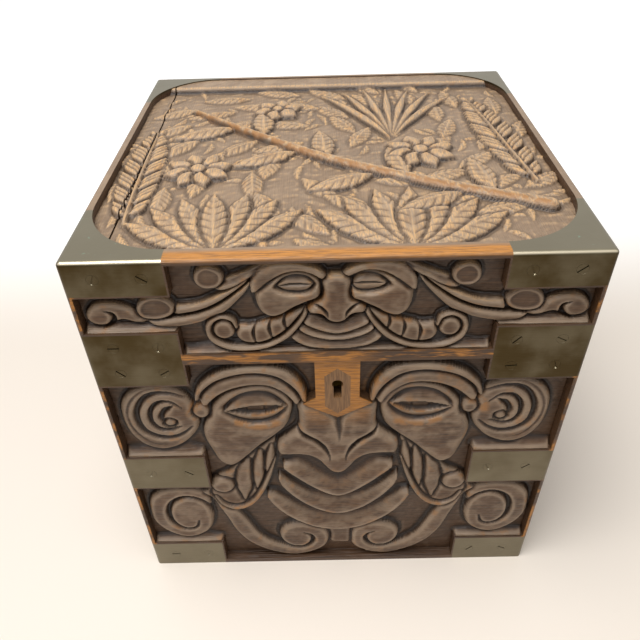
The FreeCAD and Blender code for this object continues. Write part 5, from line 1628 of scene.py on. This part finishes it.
@dataclass(frozen=True, kw_only=True)
class AgedBrass(Finish):
    """Brass gone dull: olive brown, with a painted paler reflection on its upward faces and towards the
    bottom, green specks and bright rubbed edges.
    """

    dark: str = "#463a23"
    pale: str = "#89826f"
    verdigris: str = "#8aa08c"
    rubbed: str = "#d8ccb2"
    metallic: float = 1.0
    skin: Pair = (0.15, 0.3)

    def patterns(self, tree: Tree, place: Socket, normal: Socket) -> tuple[Socket, Socket]:
        """Colour from patina, a painted paler reflection on upward faces and low parts, and the rubbed
        arris; skin from scratches.

        Args:
            tree: Tree that the nodes are added to.
            place: Object coordinates.
            normal: Normals of the piece.

        Returns:
            The colour and the height of the skin.
        """
        _, y, z = add(tree, "ShaderNodeSeparateXYZ", None, {0: place}).outputs
        upward = add(tree, "ShaderNodeSeparateXYZ", None, {0: normal}).outputs[2]
        # Painted reflection: the brass is paler on upward faces and towards the bottom
        lit = add(tree, "ShaderNodeMapRange", SMOOTH, {0: upward, 1: 0.5, 2: 1.0}).outputs[0]
        low = add(tree, "ShaderNodeMapRange", SMOOTH, {0: z, 1: 0.19, 2: 0.05}).outputs[0]
        clouds = patches(tree, place, sizes=(26, 26, 26), low=0.35, high=0.7, detail=4)
        specks = patches(tree, place, sizes=(5, 5, 5), low=0.68, high=0.74, detail=2)
        metal = painted(
            tree, self.dark, (self.pale, clouds, 0.35), (self.pale, low, 0.6), (self.pale, lit, 0.8),
            (self.verdigris, specks, lit, 0.7),
            (self.rubbed, near(tree, z, place=270, reach=1.6), near(tree, y, place=-130, reach=1.6)),
        )
        return metal, patches(tree, place, sizes=(9, 9, 0.7), low=0.3, high=0.7, detail=3)


@dataclass(frozen=True, kw_only=True)
class PlainMetal(Finish):
    """Working metal inside the box: brass or steel with brushed streaks and darker stains."""

    bright: str
    stained: str
    metallic: float = 1.0
    skin: Pair = (0.1, 0.2)

    def patterns(self, tree: Tree, place: Socket, normal: Socket) -> tuple[Socket, Socket]:
        """Colour from streaks and stains; skin from the streaks.

        Args:
            tree: Tree that the nodes are added to.
            place: Object coordinates.
            normal: Normals of the piece; not used.

        Returns:
            The colour and the height of the skin.
        """
        streaks = patches(tree, place, sizes=(12, 0.5, 0.5), low=0.35, high=0.65, detail=3)
        stains = patches(tree, place, sizes=(8, 8, 8), low=0.45, high=0.7, detail=3)
        return painted(tree, self.bright, (self.stained, streaks, 0.3), (self.stained, stains, 0.6)), streaks


@dataclass(frozen=True, kw_only=True)
class PaleWood(Finish):
    """Wood worn to its golden heart, with brown fibres."""

    gold: str = "#8a653f"
    fibre: str = "#664628"
    roughness: float = 0.5

    def patterns(self, tree: Tree, place: Socket, normal: Socket) -> tuple[Socket, Socket]:
        """Colour and skin from the fibres."""
        fibres = patches(tree, place, sizes=(0.7, 0.7, 9), low=0.35, high=0.65, detail=4)
        return painted(tree, self.gold, (self.fibre, fibres, 0.8)), fibres


@dataclass(frozen=True)
class Studio:
    """Floor, light and the photograph's camera, in metres and degrees."""

    eye: Place = (-0.0063, -0.3802, 0.4369)
    ahead: Place = (-0.0076, 0.7732, -0.6342)
    roll: float = -1.66
    picture: float = 640.0
    focal: float = 631.0
    sensor: float = 36.0
    floor_size: float = 6.0
    cream: str = "#f7ecdf"
    white: str = "#fbfaf8"
    glow: float = 0.6
    ambient: float = 0.3
    lamp_place: Place = (-0.25, -0.32, 1.35)
    lamp_size: float = 0.8
    lamp_aim: Place = (0.0, 0.0, 0.15)
    lamp_power: float = 17.6

    def build(self) -> None:
        """Set up the stage."""
        scene = bpy.context.scene
        scene.view_settings.view_transform = "Standard"
        camera = bpy.data.objects.new("camera", bpy.data.cameras.new("camera"))
        scene.collection.objects.link(camera)
        camera.data.sensor_width = self.sensor
        camera.data.lens = self.sensor * self.focal / self.picture
        camera.data.clip_start = 0.01
        roll = Matrix.Rotation(radians(self.roll), 3, "Z")
        turn = Vector(self.ahead).to_track_quat("-Z", "Y").to_matrix() @ roll
        camera.matrix_world = Matrix.Translation(self.eye) @ turn.to_4x4()
        scene.camera = camera
        self.floor()
        self.world()
        lamp = bpy.data.objects.new("key", bpy.data.lights.new("key", "AREA"))
        lamp.data.energy = self.lamp_power
        lamp.data.size = self.lamp_size
        lamp.location = self.lamp_place
        lamp.rotation_euler = (Vector(self.lamp_aim) - lamp.location).to_track_quat("-Z", "Y").to_euler()
        scene.collection.objects.link(lamp)

    def floor(self) -> None:
        """A floor that goes from cream in front to white behind the box."""
        mesh = bpy.data.meshes.new("floor")
        reach = self.floor_size
        corners = [(-reach, -reach, 0), (reach, -reach, 0), (reach, reach, 0), (-reach, reach, 0)]
        mesh.from_pydata(corners, [], [(0, 1, 2, 3)])
        floor = bpy.data.objects.new("floor", mesh)
        bpy.context.scene.collection.objects.link(floor)
        material = bpy.data.materials.new("pale_floor")
        material.use_nodes = True
        tree = material.node_tree
        place = add(tree, "ShaderNodeTexCoord").outputs["Object"]
        y = add(tree, "ShaderNodeSeparateXYZ", None, {0: place}).outputs[1]
        far = add(tree, "ShaderNodeMapRange", SMOOTH, {0: y, 1: 0.1, 2: 0.5}).outputs[0]
        shader = tree.nodes["Principled BSDF"]
        tree.links.new(painted(tree, self.cream, (self.white, far)), shader.inputs["Base Color"])
        shader.inputs["Roughness"].default_value = 0.6
        seen = add(tree, "ShaderNodeLightPath").outputs["Is Camera Ray"]
        shader.inputs["Emission Color"].default_value = linear(self.white)
        tree.links.new(together(tree, "MULTIPLY", seen, far, self.glow), shader.inputs["Emission Strength"])
        mesh.materials.append(material)

    def world(self) -> None:
        """White to the camera and in reflections, dimmer as a light."""
        world = bpy.data.worlds.new("studio")
        bpy.context.scene.world = world
        world.use_nodes = True
        tree = world.node_tree
        path = add(tree, "ShaderNodeLightPath").outputs
        rays = (path[f"Is {kind} Ray"] for kind in ("Camera", "Glossy", "Transmission"))
        seen = together(tree, "ADD", *rays)
        level = add(tree, "ShaderNodeMapRange", None, {0: seen, 3: self.ambient, 4: 1.0}).outputs[0]
        background = tree.nodes["Background"]
        background.inputs["Color"].default_value = linear("#ffffff")
        tree.links.new(level, background.inputs["Strength"])


def dress(carvings: dict[bpy.types.Object, Grain]) -> None:
    """Give every piece the finish of its slot, and the boards the grain of their direction.

    Args:
        carvings: The carved pieces with the grain of the board that they belong to.
    """
    woods = [StainedWood(name=f"stained_wood_{grain.name.lower()}", grain=grain) for grain in Grain]
    wood = {finish.grain: finish.build() for finish in woods}
    finishes = {
        "strap_brass": AgedBrass(name="aged_strap_brass"),
        "hinge_brass": PlainMetal(name="hinge_brass", bright="#8d7d55", stained="#4f4429"),
        "lock_brass": PlainMetal(name="lock_brass", bright="#a8935c", stained="#5d4e2c"),
        "lock_steel": PlainMetal(name="oiled_steel", bright="#9b9895", stained="#4c4845"),
        "screw_steel": PlainMetal(
            name="dark_screw_steel", bright="#7d7873", stained="#3b3733", roughness=0.45,
        ),
        "pale_wood": PaleWood(name="golden_wood"),
    }
    built = {slot: finish.build() for slot, finish in finishes.items()}
    across = {"front_panel", "back_panel", "lid_front", "lid_back"}
    slots = {part["node"]: part["material_slot"] for part in frame["record"]["subparts"]}
    for name, node in frame["nodes"].items():
        finish = built.get(slots[name]) or wood[Grain.ACROSS if name in across else Grain.DEEP]
        node.data.materials.clear()
        node.data.materials.append(finish)
    for piece, grain in carvings.items():
        piece.data.materials.append(wood[grain])


def main() -> None:
    """Build the carving, dress the pieces and set up the studio."""
    logging.basicConfig(level=logging.INFO)
    fields = (
        CaseFront("case_front_relief", "case", Face.FRONT, 130.0, node="front_carving"),
        CaseSide("case_left_relief", "case", Face.LEFT, 135.0, step=0.85, seed=11, node="left_carving"),
        CaseSide("case_right_relief", "case", Face.RIGHT, 135.0, step=0.85, seed=12, node="right_carving"),
        LidFront("lid_front_relief", "lid", Face.FRONT, 130.0, seed=5, node="lid_front_carving"),
        LidSide("lid_left_relief", "lid", Face.LEFT, 135.0, seed=13, node="lid_left_carving"),
        LidSide("lid_right_relief", "lid", Face.RIGHT, 135.0, seed=14, node="lid_right_carving"),
        LidTop("lid_top_relief", "lid", Face.TOP, 270.0, seed=7, node="lid_top_carving"),
        LidTop("lid_top_rail_relief", "lid", Face.TOP, 270.0, left=-130.0, right=-117.0, seed=7),
    )
    dress({field.build(): Grain.ACROSS if field.face is Face.FRONT else Grain.DEEP for field in fields})
    Studio().build()


if __name__ == "__main__":
    main()
